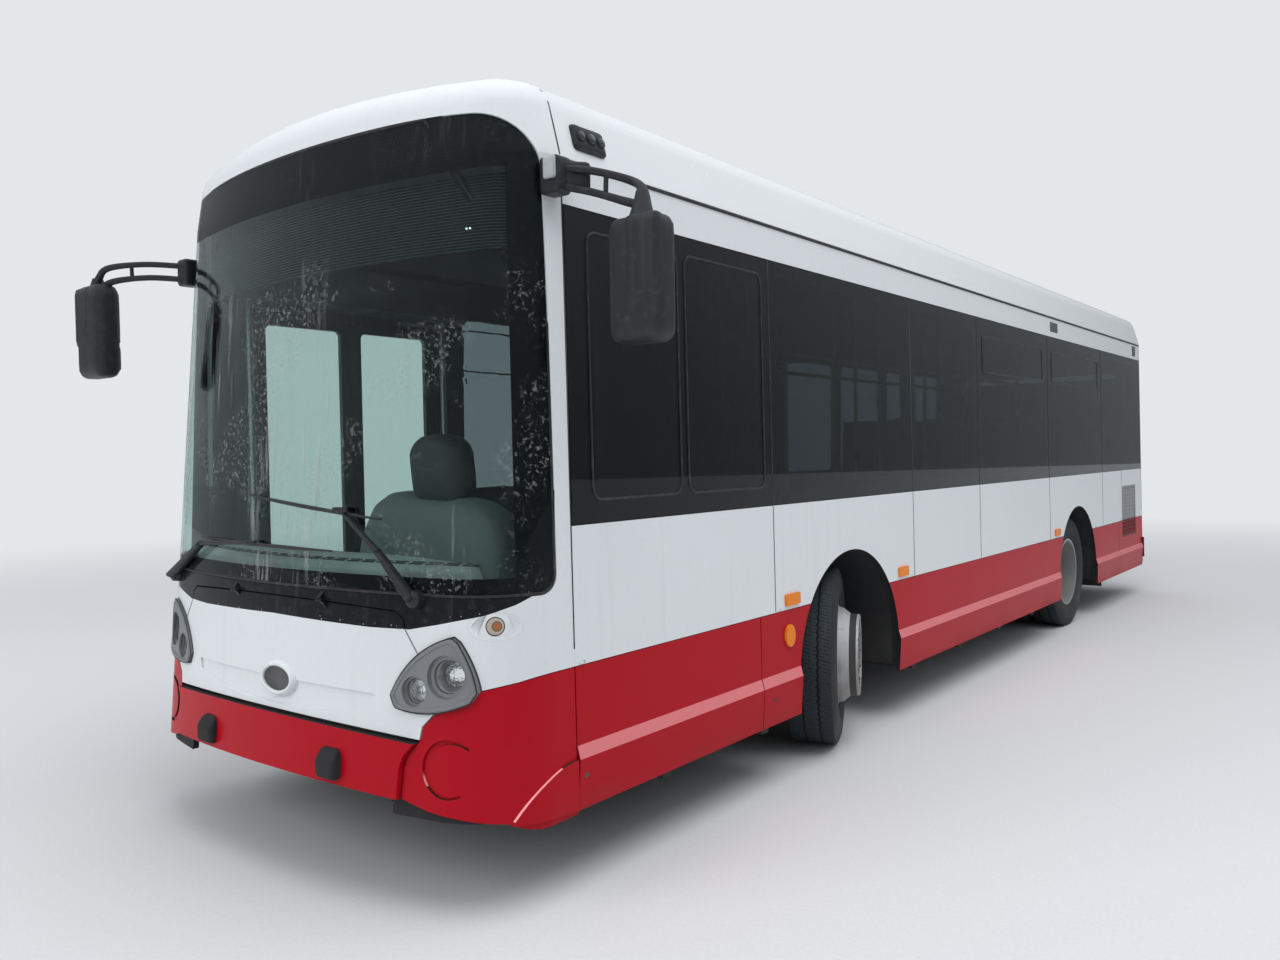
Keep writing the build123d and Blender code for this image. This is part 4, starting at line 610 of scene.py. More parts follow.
def glass(name, tint, light_tint, streaks=0.05, mottle=0.1, spots=0.0, bend=1.38):
    """Tinted glass that lets lamps through, with dust and the marks of dried rain on it."""
    made, tree, shader = new_material(name)
    shader.inputs["Base Color"].default_value = (*tint, 1)
    shader.inputs["Transmission Weight"].default_value = 1.0
    shader.inputs["Roughness"].default_value = 0.02
    shader.inputs["IOR"].default_value = bend
    clear = tree.nodes.new("ShaderNodeBsdfTransparent")
    clear.inputs["Color"].default_value = (*light_tint, 1)
    lets_through = light_is(tree, "Shadow", "Diffuse")
    pane = mix_shaders(tree, lets_through, shader.outputs[0], clear.outputs[0])
    dust = tree.nodes.new("ShaderNodeBsdfPrincipled")
    dust.inputs["Base Color"].default_value = (0.50, 0.50, 0.48, 1)
    dust.inputs["Roughness"].default_value = 0.8
    soil_node = use_group(tree, soiling, reach=0.5, streaks=streaks, mottle=mottle)
    cover = reckon(tree, "MULTIPLY", soil_node.outputs["Dirt"], 0.5)
    if spots:
        cover = reckon(tree, "MAXIMUM", cover, reckon(tree, "MULTIPLY", rain_marks(tree), spots))
    tree.links.new(
        mix_shaders(tree, cover, pane, dust.outputs[0]),
        tree.nodes["Material Output"].inputs["Surface"],
    )
    return made


side_glass = glass(
    "tinted_side_glass", (0.16, 0.19, 0.20), (0.22, 0.25, 0.26), streaks=0.02, mottle=0.03
)
dress(side_glass, "windows")
DOOR_LEAVES = [door + "_" + which for door in ("front_door", "middle_door")
               for which in ("fore", "aft")]
door_glass = glass("tinted_door_glass", (0.62, 0.74, 0.71), (0.3, 0.34, 0.34), mottle=0.04)
dress(door_glass, *[leaf + "_glass" for leaf in DOOR_LEAVES])

pane_rubber = finish(
    "pane_gasket", (0.012, 0.012, 0.014), ROAD_FILM, 0.45, reach=0.6, streaks=0.2, mottle=0.2,
    grain_size=600.0, grain=0.4, depth=0.0006,
)


def round_corners(low_y, high_y, low_z, high_z, radius, steps=6):
    outline = []
    for centre_y, centre_z, start in (
        (high_y - radius, high_z - radius, 0), (low_y + radius, high_z - radius, 90),
        (low_y + radius, low_z + radius, 180), (high_y - radius, low_z + radius, 270),
    ):
        for step in range(steps + 1):
            turn = math.radians(start + 90 * step / steps)
            outline.append((centre_y + radius * math.cos(turn), centre_z + radius * math.sin(turn)))
    return outline


# Frames by side, as two ends, foot, head and corner radius: on the driver's side the sliding
# pane and its fixed half, then hoppers on both sides. The panes meet over the wall's seams.
FRAMES = {
    1: ((-4.380, -3.800, 1.454, 2.470, 0.05), (-3.745, -3.120, 1.454, 2.470, 0.05),
        (-0.083, 1.337, 2.165, 2.420, 0.04), (1.600, 3.100, 2.165, 2.420, 0.04)),
    -1: ((-2.950, -1.460, 2.165, 2.420, 0.04), (2.210, 3.130, 2.165, 2.420, 0.04)),
}
PANE_FOOT, PANE_HEAD, BESIDE_GAP = 1.369, 2.544, 0.006
frame_parts, joint_parts = [], []
for side, _ in SIDES:
    for opening in FRAMES[side]:
        line = [from_side("windows", side, y, z) for y, z in round_corners(*opening)]
        frame_parts.append(bead(line, 0.010, 0.003, closed=True))
    for along in WALL_SEAMS[side][:-1]:
        line = []
        for height in spread(PANE_FOOT, PANE_HEAD, 12):
            place, normal = from_side("windows", side, along + BESIDE_GAP, height)
            line.append((place - Vector((0, BESIDE_GAP, 0)), normal))
        joint_parts.append(bead(line, 0.011, 0.0008))
new_piece("pane_frames", frame_parts, pane_rubber, "black_rubber")
new_piece("pane_joints", joint_parts, pane_rubber, "black_rubber")


# Windscreen: one deep laminated pane wrapped round both front corners, faintly green, marked by
# dried rain, with a black ceramic border fired on its inner face.
screen_glass = glass(
    "windscreen_glass", (0.66, 0.79, 0.77), (0.66, 0.73, 0.71), streaks=0.01,
    mottle=0.02, spots=0.30, bend=1.25,
)
dress(screen_glass, "windscreen")
ceramic = finish(
    "black_ceramic", (0.008, 0.009, 0.011), (0.05, 0.05, 0.05), 0.35, reach=0.5, streaks=0.0,
    mottle=0.2, grain_size=1500.0, grain=0.05, shine=0.05,
)
# The pane is seen from a point on the bus's middle line: its turns there are in radians
SCREEN_MIDDLE_Y, SCREEN_SIDE_Y = -3.6, -4.603
SCREEN_FOOT, SCREEN_HEAD, PANE_GAUGE = 1.1315, 2.8785, 0.0074
CERAMIC_FOOT, CERAMIC_HEAD, CERAMIC_SIDE = 1.195, 2.665, 0.090


def screen_edge(height):
    """How far round from the middle the windscreen's side edge lies."""
    # The walls lean in a little over their height, and more above the gutter
    half = 1.172 - 0.030 * (height - 0.25) / 2.472
    if height > 2.722:
        half = 1.142 - 0.090 * (height - 2.722) / 0.34
    # The edge's corners are rounded, widely at the head and tightly at the foot
    back = SCREEN_SIDE_Y
    for past_start, radius in ((height - 2.65, 0.232), (1.20 - height, 0.072)):
        if past_start > 0:
            back -= radius - math.sqrt(max(radius ** 2 - past_start ** 2, 0))
    return math.atan2(half, SCREEN_MIDDLE_Y - back)


def on_screen(turn, height):
    aim = Vector((math.sin(turn), -math.cos(turn), 0))
    return touch("windscreen", Vector((0, SCREEN_MIDDLE_Y, height)) + aim * 3.0, -aim)


def near_point(turn, height):
    """A point on the pane's inner face there, or the nearest one just inside its edge."""
    toward = -1 if height > 2.0 else 1
    for step in range(24):
        met = on_screen(turn * (1 - 0.0006 * step), height + toward * 0.0015 * step)
        if met:
            return met[0] - met[1] * PANE_GAUGE
    return None


def screen_patch(heights, turns_at):
    """A sheet over the rows at these heights, each with the same number of turns."""
    points, faces, index = [], [], {}
    for row, height in enumerate(heights):
        for column, turn in enumerate(turns_at(height)):
            point = near_point(turn, height)
            if point is not None:
                index[row, column] = len(points)
                points.append(point)
    for row, column in index:
        corners = [(row, column), (row, column + 1), (row + 1, column + 1), (row + 1, column)]
        if all(corner in index for corner in corners):
            faces.append(tuple(index[corner] for corner in corners))
    return points, faces


def full_width(height):
    edge = screen_edge(height) * 0.999
    return spread(-edge, edge, 80)


border_parts = [
    screen_patch(spread(SCREEN_FOOT, CERAMIC_FOOT, 8), full_width),
    screen_patch(spread(CERAMIC_HEAD, SCREEN_HEAD, 26), full_width),
]
for hand in (-1, 1):
    border_parts.append(screen_patch(
        spread(CERAMIC_FOOT, CERAMIC_HEAD, 30),
        lambda height: [hand * (screen_edge(height) * 0.999 - CERAMIC_SIDE * step / 5)
                        for step in range(6)],
    ))
new_piece("windscreen_border", border_parts, ceramic, "black_plastic")

# Rubber gasket round the windscreen, in the gap between the pane and the moulding, and the bond
# line behind it: up the left edge, across the head, down the right edge and back along the foot
GASKET_FOOT, GASKET_HEAD, BOND_HALF, BOND_DEPTH = 1.1335, 2.8765, 0.022, 0.0066
up_line = [(screen_edge(height) * 0.998, height) for height in spread(1.134, 2.876, 90)]
head_edge, foot_edge = screen_edge(GASKET_HEAD) * 0.99, screen_edge(GASKET_FOOT) * 0.99
gasket_line = (
    up_line + [(turn, GASKET_HEAD) for turn in spread(head_edge, -head_edge, 60)]
    + [(-turn, height) for turn, height in reversed(up_line)]
    + [(turn, GASKET_FOOT) for turn in spread(-foot_edge, foot_edge, 60)]
)
gasket = [met for met in [on_screen(turn, height) for turn, height in gasket_line] if met]
screen_gasket = bead(gasket, 0.011, 0.0012, closed=True)
new_piece("windscreen_gasket", [screen_gasket], pane_rubber, "black_rubber")
bond_points, bond_faces = [], []
for number, (place, normal) in enumerate(gasket):
    along = gasket[(number + 1) % len(gasket)][0] - gasket[number - 1][0]
    across = along.cross(normal).normalized() * BOND_HALF
    bond_points += [place - normal * BOND_DEPTH - across, place - normal * BOND_DEPTH + across]
    here, there = 2 * number, 2 * ((number + 1) % len(gasket))
    bond_faces.append((here, here + 1, there + 1, there))
new_piece("windscreen_bond_line", [(bond_points, bond_faces)], ceramic, "black_plastic")


# Destination display: a dark panel of fine horizontal louvres behind the head of the windscreen,
# with small pilot lights that glow.
PIXEL = 0.0115
display_face = finish(
    "display_louvres", (0.006, 0.008, 0.010), (0.03, 0.03, 0.03), 0.6, streaks=0.0, mottle=0.1,
    shine=0.1, zones=((stripes("X", PIXEL, 0.25), (0.012, 0.014, 0.016), 0.6),
                      (stripes("Z", PIXEL, 0.32), (0.048, 0.053, 0.060), 0.5)),
)
dress(display_face, "destination_display")
display_light, _, light_shader = new_material("display_lights")
light_shader.inputs["Base Color"].default_value = (0.8, 0.85, 0.9, 1)
light_shader.inputs["Emission Color"].default_value = (0.85, 0.93, 1.0, 1)
light_shader.inputs["Emission Strength"].default_value = 1.6


# Headlamp housings: silver-sprayed mouldings proud of the corners, each with a rolled rim, a black
# rubber seal round it and two sunk round lamps.
silver = finish(
    "silver_moulding", (0.26, 0.267, 0.275), (0.20, 0.19, 0.18), 0.36, reach=0.7, streaks=0.08,
    mottle=0.15, grain_size=2600.0, grain=0.5, depth=0.0004, metal=0.55,
)
dress(silver, "headlamp_housings")
HOUSING_MIDDLE, HOUSING_REACH, CORNER_ROLL = Vector((0.885, -4.9, 0.835)), 0.26, 0.0065
RIM_IN, RIM_WIDE, SEAL_OUT, SEAL_WIDE = 0.0095, 0.013, 0.0020, 0.0050


def housing_outline(hand, grow):
    """Points and normals on a housing, or just off it, a step away from its edge."""
    def on_housing(way, far):
        spot = HOUSING_MIDDLE + way * far
        return from_end("headlamp_housings", -1, spot.x * hand, spot.z)

    line = []
    for step in range(96):
        turn = 2 * math.pi * step / 96
        way = Vector((math.cos(turn), 0, math.sin(turn)))
        near, step_in = HOUSING_REACH, 0.004
        while step_in > 0.0003:
            met = on_housing(way, near - step_in)
            if met and met[1].y < -0.3:
                step_in /= 2
            else:
                near -= step_in
        place, normal = on_housing(way, near - CORNER_ROLL)
        outward = Vector((way.x * hand, 0, way.z))
        outward = (outward - normal * outward.dot(normal)).normalized()
        line.append((place + outward * (grow + CORNER_ROLL), normal))
    return line


housing_rims, housing_seals = [
    [bead(housing_outline(hand, grow), wide, proud, closed=True) for hand in (-1, 1)]
    for grow, wide, proud in ((-RIM_IN, RIM_WIDE, 0.0042), (SEAL_OUT, SEAL_WIDE, 0.0006))
]
new_piece("headlamp_housing_rims", housing_rims, silver, "silver_plastic")
new_piece("headlamp_housing_seals", housing_seals, pane_rubber, "black_rubber")

lamp_black = finish(
    "lamp_bezel", (0.26, 0.265, 0.27), (0.12, 0.12, 0.12), 0.30, streaks=0.0, mottle=0.1,
    metal=0.5,
)
chrome = finish(
    "lamp_reflector", (0.86, 0.87, 0.88), (0.5, 0.5, 0.5), 0.08, streaks=0.0, mottle=0.05,
    grain_size=130.0, grain=1.0, depth=0.0022, metal=1.0,
)
lamp_glass = glass("lamp_glass", (0.93, 0.95, 0.95), (0.94, 0.95, 0.95), streaks=0.0, mottle=0.12)
# Lamps: place across and up and radius, then rings of the bezel, the bowl and the lens, each
# as a share of the radius and a depth behind the face
DIP_LAMP = (
    (0.936, 0.853, 0.0595),
    ((1.0, 0.001), (0.95, 0.002), (0.90, 0.010), (0.76, 0.028), (0.72, 0.036), (0.70, 0.036)),
    ((0.70, 0.036), (0.62, 0.046), (0.40, 0.060), (0.12, 0.066), (0.0, 0.066)),
    ((0.70, 0.034), (0.66, 0.024), (0.50, 0.012), (0.26, 0.006), (0.0, 0.004)),
)
MAIN_LAMP = (
    (0.804, 0.793, 0.0445),
    ((1.0, 0.001), (0.95, 0.001), (0.92, 0.006), (0.90, 0.008)),
    ((0.90, 0.008), (0.80, 0.026), (0.60, 0.040), (0.30, 0.050), (0.16, 0.052), (0.0, 0.052)),
    ((0.93, 0.004), (0.80, 0.001), (0.50, -0.001), (0.0, -0.0015)),
)
# The rings inside this share of the radius lie flat, and none comes nearer the lamp's edge
FLAT_WITHIN, WIDEST, LAMP_SIDES = 0.6, 0.985, 64


def hoop_faces(count, sides, start=0):
    """Faces that join a count of hoops, each with that many points."""
    faces = []
    for ring in range(count - 1):
        for step in range(sides):
            here = start + ring * sides + step
            there = start + ring * sides + (step + 1) % sides
            faces.append((here, there, there + sides, here + sides))
    return faces


def lamp_rings(hand, lamp, rings):
    across, up, radius = lamp
    points = []
    flat, _ = from_end("headlamps", -1, hand * across, up)
    for share, sink in rings:
        lean = 1.0 if share > FLAT_WITHIN else share / FLAT_WITHIN
        for step in range(LAMP_SIDES):
            turn = 2 * math.pi * step / LAMP_SIDES
            x = hand * (across + radius * min(share, WIDEST) * math.cos(turn))
            z = up + radius * min(share, WIDEST) * math.sin(turn)
            face, _ = from_end("headlamps", -1, x, z)
            points.append((x, face.y * lean + flat.y * (1 - lean) + sink, z))
    return points, hoop_faces(len(rings), LAMP_SIDES)


lamp_pieces = []
for label, (lamp, bezel, bowl, lens) in (("dip", DIP_LAMP), ("main", MAIN_LAMP)):
    for kind, rings, material, slot in (
        ("bezels", bezel, lamp_black, "black_plastic"), ("reflectors", bowl, chrome, "lamp_glass"),
        ("lenses", lens, lamp_glass, "lamp_glass"),
    ):
        shapes = [lamp_rings(hand, lamp, rings) for hand in (-1, 1)]
        lamp_pieces.append(new_piece(label + "_lamp_" + kind, shapes, material, slot))
for made in lamp_pieces:
    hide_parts("headlamps")


# Turn lamps: round clear lenses over brown bulbs, in soft hollows of the front corners, and
# ribbed amber markers pressed into the sides.
TURN_X, TURN_Y, TURN_Z, TURN_R = 1.072, -4.822, 1.029, 0.034
TURN_AIM_X, TURN_AIM_Y = 0.733, -0.680


def turn_lamp_within(low, high, aside=0.0):
    """Marks the ring between two distances from a front turn lamp's middle."""
    def mask(tree):
        x, y, z = place_axes(tree)
        ways = (
            reckon(tree, "SUBTRACT", reckon(tree, "ABSOLUTE", x), TURN_X + aside),
            reckon(tree, "SUBTRACT", y, TURN_Y + aside), reckon(tree, "SUBTRACT", z, TURN_Z),
        )
        far = chained(tree, "ADD", *[reckon(tree, "MULTIPLY", way, way) for way in ways])
        return between(tree, reckon(tree, "SQRT", far), low, high)
    return mask


BULB_ASIDE, SIDE_MARKERS_FROM, RIB_PITCH = 0.004, -4.4, 0.009
amber = finish(
    "amber_lens", (0.82, 0.20, 0.004), (0.40, 0.14, 0.03), 0.22, reach=0.35, streaks=0.05,
    mottle=0.2, grain_size=260.0, grain=1.0, depth=0.0012, shine=0.25,
    zones=((stripes("Y", RIB_PITCH, 0.35), (0.90, 0.28, 0.010), 0.2),
           (below("Y", SIDE_MARKERS_FROM), (0.50, 0.43, 0.36), 0.15),
           (turn_lamp_within(0.0, 0.016, BULB_ASIDE), (0.42, 0.14, 0.05), 0.12),
           (turn_lamp_within(0.014, 0.019, BULB_ASIDE), (0.16, 0.13, 0.11), 0.12),
           (turn_lamp_within(0.0305, 0.06), (0.05, 0.048, 0.045), 0.3)),
)
dress(amber, "turn_lamps")
HOLLOW_LONG, HOLLOW_TALL = 0.099, 0.049
HOLLOW_STEPS, HOLLOW_RINGS = 56, 9


def turn_dish(hand):
    """The soft hollow round a turn lamp, deeper on the side toward the bus's middle."""
    aim = Vector((TURN_AIM_X * hand, TURN_AIM_Y, 0)).normalized()
    middle = Vector((TURN_X * hand, TURN_Y, TURN_Z))
    outward = Vector((-aim.y * hand, aim.x * hand, 0))
    points, faces = [], []
    for step in range(HOLLOW_STEPS):
        turn = 2 * math.pi * step / HOLLOW_STEPS
        way = outward * math.cos(turn) + Vector((0, 0, 1)) * math.sin(turn)
        far = 1 / math.hypot(math.cos(turn) / HOLLOW_LONG, math.sin(turn) / HOLLOW_TALL)
        rim, _ = touch("front_mask", middle + way * far + aim * 0.4, -aim)
        near = middle + way * (TURN_R + 0.0015)
        near_depth = 0.006 - 0.005 * math.cos(turn)
        for share in spread(0, 1, HOLLOW_RINGS - 1):
            sink = near_depth * (1 - share * share * (3 - 2 * share))
            points.append(near.lerp(rim, share) + aim * (0.0008 - sink))
        for ring in range(HOLLOW_RINGS - 1):
            here = step * HOLLOW_RINGS + ring
            there = ((step + 1) % HOLLOW_STEPS) * HOLLOW_RINGS + ring
            faces.append((here, here + 1, there + 1, there))
    return points, faces


new_piece("turn_lamp_hollows", [turn_dish(1), turn_dish(-1)], white_front, "white_paint")


# Mirrors: ribbed black castings bolted to the front posts, two bent tubes with a cross-link, a
# thick moulded neck and a deep moulded shell with a raised lid; silvered glass faces rearward.
def reshaped_cube(cuts, new_place):
    """A cube of side 2, cut up evenly, with each of its points moved to a new place."""
    shape = bmesh.new()
    bmesh.ops.create_cube(shape, size=2)
    bmesh.ops.subdivide_edges(shape, edges=shape.edges[:], cuts=cuts, use_grid_fill=True)
    points = [new_place(*vert.co) for vert in shape.verts]
    faces = [tuple(vert.index for vert in face.verts) for face in shape.faces]
    shape.free()
    return points, faces


def round_edges(where, half, radius, nips=(0, 0, 0)):
    """Moves a point of a box's surface onto the box's rounded edges."""
    core = Vector([
        max(radius + nip - reach, min(reach - radius - nip, along))
        for along, reach, nip in zip(where, half, nips)
    ])
    rim = where - core
    return core + rim.normalized() * min(radius, rim.length)


def rounded_box(size, radius, crown=0.0, cuts=8):
    """A box of that size with rounded edges, its top and bottom swelling by crown."""
    half = [length / 2 for length in size]

    def new_place(u, v, w):
        where = round_edges(Vector((u * half[0], v * half[1], w * half[2])), half, radius)
        where.z += (1 - u ** 2) * (1 - v ** 2) * (crown if w > 0 else -crown)
        return where
    return reshaped_cube(cuts, new_place)


def moved(shape, move):
    points, faces = shape
    return [move @ Vector(point) for point in points], faces


def placed(shape, place, turn=(0, 0, 0)):
    move = Matrix.Translation(place)
    for axis, degrees in zip("XYZ", turn):
        move = move @ Matrix.Rotation(math.radians(degrees), 4, axis)
    return moved(shape, move)


def smooth_line(knots, steps=8):
    line = []
    for number in range(len(knots) - 1):
        before = Vector(knots[max(number - 1, 0)])
        start, end = Vector(knots[number]), Vector(knots[number + 1])
        after = Vector(knots[min(number + 2, len(knots) - 1)])
        for step in range(steps + (number == len(knots) - 2)):
            share = step / steps
            line.append(
                0.5 * (2 * start + (end - before) * share
                       + (2 * before - 5 * start + 4 * end - after) * share ** 2
                       + (3 * start - before - 3 * end + after) * share ** 3)
            )
    return line


def hoop(middle, first_way, second_way, sides):
    """Points round a middle, on the oval that reaches out by the two ways."""
    turns = [2 * math.pi * step / sides for step in range(sides)]
    return [middle + first_way * math.cos(turn) + second_way * math.sin(turn) for turn in turns]


UP = Vector((0, 0, 1))


def pipe(knots, radii, sides=16, steps=8, flat=1.0):
    """A tube along the knots, its radius running from the first to the last of radii."""
    line = smooth_line(knots, steps)
    points = []
    for number, place in enumerate(line):
        way = (line[min(number + 1, len(line) - 1)] - line[max(number - 1, 0)]).normalized()
        side = way.cross(UP)
        side = side.normalized() if side.length > 0.05 else Vector((1, 0, 0))
        top = side.cross(way).normalized()
        share = number / (len(line) - 1) * (len(radii) - 1)
        low = min(int(share), len(radii) - 2)
        radius = radii[low] + (radii[low + 1] - radii[low]) * (share - low)
        points += hoop(place, side * radius, top * radius * flat, sides)
    ends = [tuple(reversed(range(sides))), tuple(range(len(points) - sides, len(points)))]
    return points, hoop_faces(len(line), sides) + ends


mirror_black = finish(
    "mirror_moulding", (0.016, 0.018, 0.022), (0.13, 0.13, 0.125), 0.42, reach=0.5,
    mottle=0.25, grain_size=1300.0, grain=0.8, depth=0.0006,
)
silvered = finish(
    "silvered_glass", (0.80, 0.82, 0.83), (0.4, 0.4, 0.4), 0.03, streaks=0.05, mottle=0.1,
    grain=0.0, metal=1.0,
)
sensor_grey = finish(
    "sensor_pad", (0.42, 0.44, 0.45), (0.25, 0.25, 0.24), 0.5, streaks=0.1, mottle=0.3,
)
ARM_RADII, LID_SIZE = (0.014, 0.014, 0.016, 0.024), (0.150, 0.050, 0.290)
RIGHT_ARM_RADII, LINK_RADII = (0.014, 0.014, 0.016, 0.022), (0.009, 0.009)
# Left mirror, then right: foot, upper tube, lower tube, cross-link, neck, shell and its lid
mirror_parts = [
    placed(rounded_box((0.090, 0.085, 0.135), 0.016), (1.172, -4.575, 2.630)),
    placed(rounded_box((0.040, 0.150, 0.100), 0.014), (1.210, -4.540, 2.632), (0, 0, -40)),
    pipe(((1.205, -4.562, 2.655), (1.300, -4.497, 2.640), (1.405, -4.440, 2.603),
          (1.470, -4.452, 2.560), (1.492, -4.475, 2.500)), ARM_RADII),
    pipe(((1.205, -4.562, 2.590), (1.290, -4.508, 2.566), (1.385, -4.462, 2.530),
          (1.460, -4.464, 2.500), (1.492, -4.477, 2.470)), ARM_RADII),
    pipe(((1.330, -4.478, 2.628), (1.330, -4.482, 2.556)), LINK_RADII),
    pipe(((1.486, -4.470, 2.545), (1.494, -4.482, 2.490), (1.500, -4.495, 2.430)),
         (0.022, 0.034, 0.052)),
    placed(rounded_box((0.236, 0.126, 0.440), 0.048, cuts=12), (1.505, -4.505, 2.2275)),
    placed(rounded_box(LID_SIZE, 0.022), (1.545, -4.545, 2.300)),
    placed(rounded_box((0.085, 0.085, 0.130), 0.016), (-1.148, -4.705, 2.550)),
    pipe(((-1.165, -4.705, 2.585), (-1.290, -4.850, 2.592), (-1.400, -4.972, 2.572),
          (-1.462, -4.992, 2.530), (-1.490, -4.990, 2.480)), RIGHT_ARM_RADII),
    pipe(((-1.165, -4.705, 2.520), (-1.280, -4.836, 2.528), (-1.385, -4.950, 2.510),
          (-1.450, -4.984, 2.480), (-1.490, -4.987, 2.450)), RIGHT_ARM_RADII),
    pipe(((-1.330, -4.898, 2.586), (-1.330, -4.896, 2.520)), LINK_RADII),
    pipe(((-1.488, -4.988, 2.530), (-1.494, -4.986, 2.480)), (0.022, 0.040)),
    placed(rounded_box((0.236, 0.126, 0.455), 0.048, cuts=12), (-1.505, -4.985, 2.270)),
    placed(rounded_box(LID_SIZE, 0.022), (-1.545, -5.025, 2.340)),
]
mirror_shells = new_piece("mirror_shells", mirror_parts, mirror_black, "black_plastic")
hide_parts("mirrors")
MIRROR_GLASSES = (
    (0.232, (1.505, -4.4405, 2.289)), (0.110, (1.505, -4.4405, 2.100)),
    (0.240, (-1.505, -4.9205, 2.335)), (0.110, (-1.505, -4.9205, 2.138)),
)
glass_parts = [
    placed(rounded_box((0.168, 0.004, tall), 0.0019, cuts=4), place)
    for tall, place in MIRROR_GLASSES
]
new_piece("mirror_glasses", glass_parts, silvered, "silver_plastic")
sensor_pad = placed(rounded_box((0.052, 0.020, 0.080), 0.008), (1.190, -4.625, 2.650))
new_piece("mirror_sensor_pad", [sensor_pad], sensor_grey, "grey_plastic")


# Wipers: pressed channel arms on round knuckles, with bowed blades of black rubber.
wiper_black = finish(
    "wiper_steel", (0.014, 0.015, 0.017), (0.12, 0.12, 0.115), 0.45, reach=0.5, streaks=0.1,
    mottle=0.3, grain=0.5,
)


def off_screen(x, z, lift):
    """A point lift off the glass or moulding in front of (x, z)."""
    place, normal = from_end("windscreen front_mask front_flap", -1, x, z)
    return place + normal * lift


def wiper(pivot, elbow, tip, blade_start, blade_end):
    """An arm and blade from five places on the screen, each as across and up."""
    knuckle, foot = off_screen(*pivot, 0.030), off_screen(*pivot, -0.002)
    mid, end = off_screen(*elbow, 0.034), off_screen(*tip, 0.022)
    blade = [
        off_screen(x, z, 0.010 + 0.006 * math.sin(math.pi * share))
        for x, z, share in zip(spread(blade_start[0], blade_end[0], 16),
                               spread(blade_start[1], blade_end[1], 16), spread(0, 1, 16))
    ]
    return [
        pipe((foot, knuckle), (0.034, 0.031), sides=24),
        pipe((knuckle, knuckle + (knuckle - foot).normalized() * 0.012), (0.031, 0.014), sides=24),
        pipe((knuckle, knuckle.lerp(mid, 0.35), mid), (0.031, 0.027, 0.019), flat=0.55),
        pipe((mid, mid.lerp(end, 0.5), end), (0.017, 0.012, 0.009), flat=0.7),
        placed(rounded_box((0.085, 0.016, 0.022), 0.006, cuts=3), end),
        pipe(blade, (0.004, 0.009, 0.010, 0.009, 0.004), steps=2, flat=0.8),
    ]


left_wiper = wiper(
    (0.790, 1.118), (0.630, 1.280), (0.413, 1.432), (-0.228, 1.486), (0.616, 1.400)
)
right_wiper = wiper(
    (-0.958, 1.100), (-0.575, 1.268), (-0.159, 1.286), (-0.640, 1.290), (0.365, 1.276)
)
wipers = new_piece(
    "wiper_arms_and_blades", left_wiper + right_wiper, wiper_black, "black_plastic"
)
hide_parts("wipers")


# Wheels: steel disc wheels on ten studs with low-profile road tyres, single in front and twin
# behind. The front tread has two deep zigzag grooves; road dust lies on the sidewalls.
AXLE_HEIGHT, TWIN_HALF = 0.488, 0.155
# Each wheel's side, the middle of its hub and the way out along its axle
FRONT_WHEELS = (
    ("left", Vector((0.9494, -2.2326, AXLE_HEIGHT)), Vector((0.92050, 0.39073, 0))),
    ("right", Vector((-0.9494, -2.2874, AXLE_HEIGHT)), Vector((-0.92050, -0.39073, 0))),
)
REAR_WHEELS = (
    ("left", Vector((0.812, 2.300, AXLE_HEIGHT)), Vector((1, 0, 0))),
    ("right", Vector((-0.812, 2.300, AXLE_HEIGHT)), Vector((-1, 0, 0))),
)

# Place round an axle: how far out along it, how far from it, and the turn in radians
round_axle, axle_in, axle_out = new_group(
    "round_axle",
    [("Hub", "NodeSocketVector", (0, 0, 0)), ("Out", "NodeSocketVector", (1, 0, 0))],
    [("Along", FLOAT), ("Radius", FLOAT), ("Turn", FLOAT)],
)
from_hub = vector_step(round_axle, "SUBTRACT", place_of(round_axle), axle_in.outputs["Hub"])
forward = vector_step(round_axle, "CROSS_PRODUCT", axle_in.outputs["Out"], (0, 0, 1))
along_axle, ahead, higher = [
    vector_step(round_axle, "DOT_PRODUCT", from_hub, way)
    for way in (axle_in.outputs["Out"], forward, (0, 0, 1))
]
squares = [reckon(round_axle, "MULTIPLY", part, part) for part in (ahead, higher)]
for label, value in (
    ("Along", along_axle),
    ("Radius", reckon(round_axle, "SQRT", reckon(round_axle, "ADD", *squares))),
    ("Turn", reckon(round_axle, "ARCTAN2", higher, ahead)),
):
    round_axle.links.new(value, axle_out.inputs[label])

TREAD_FROM, GROOVE_PLACE = 0.484, 0.041
# Distances from the axle between which the sidewall is ribbed, and the ribs' half pitch
RIB_BANDS, RIB_STEP = ((0.306, 0.338), (0.436, 0.470)), 0.0055


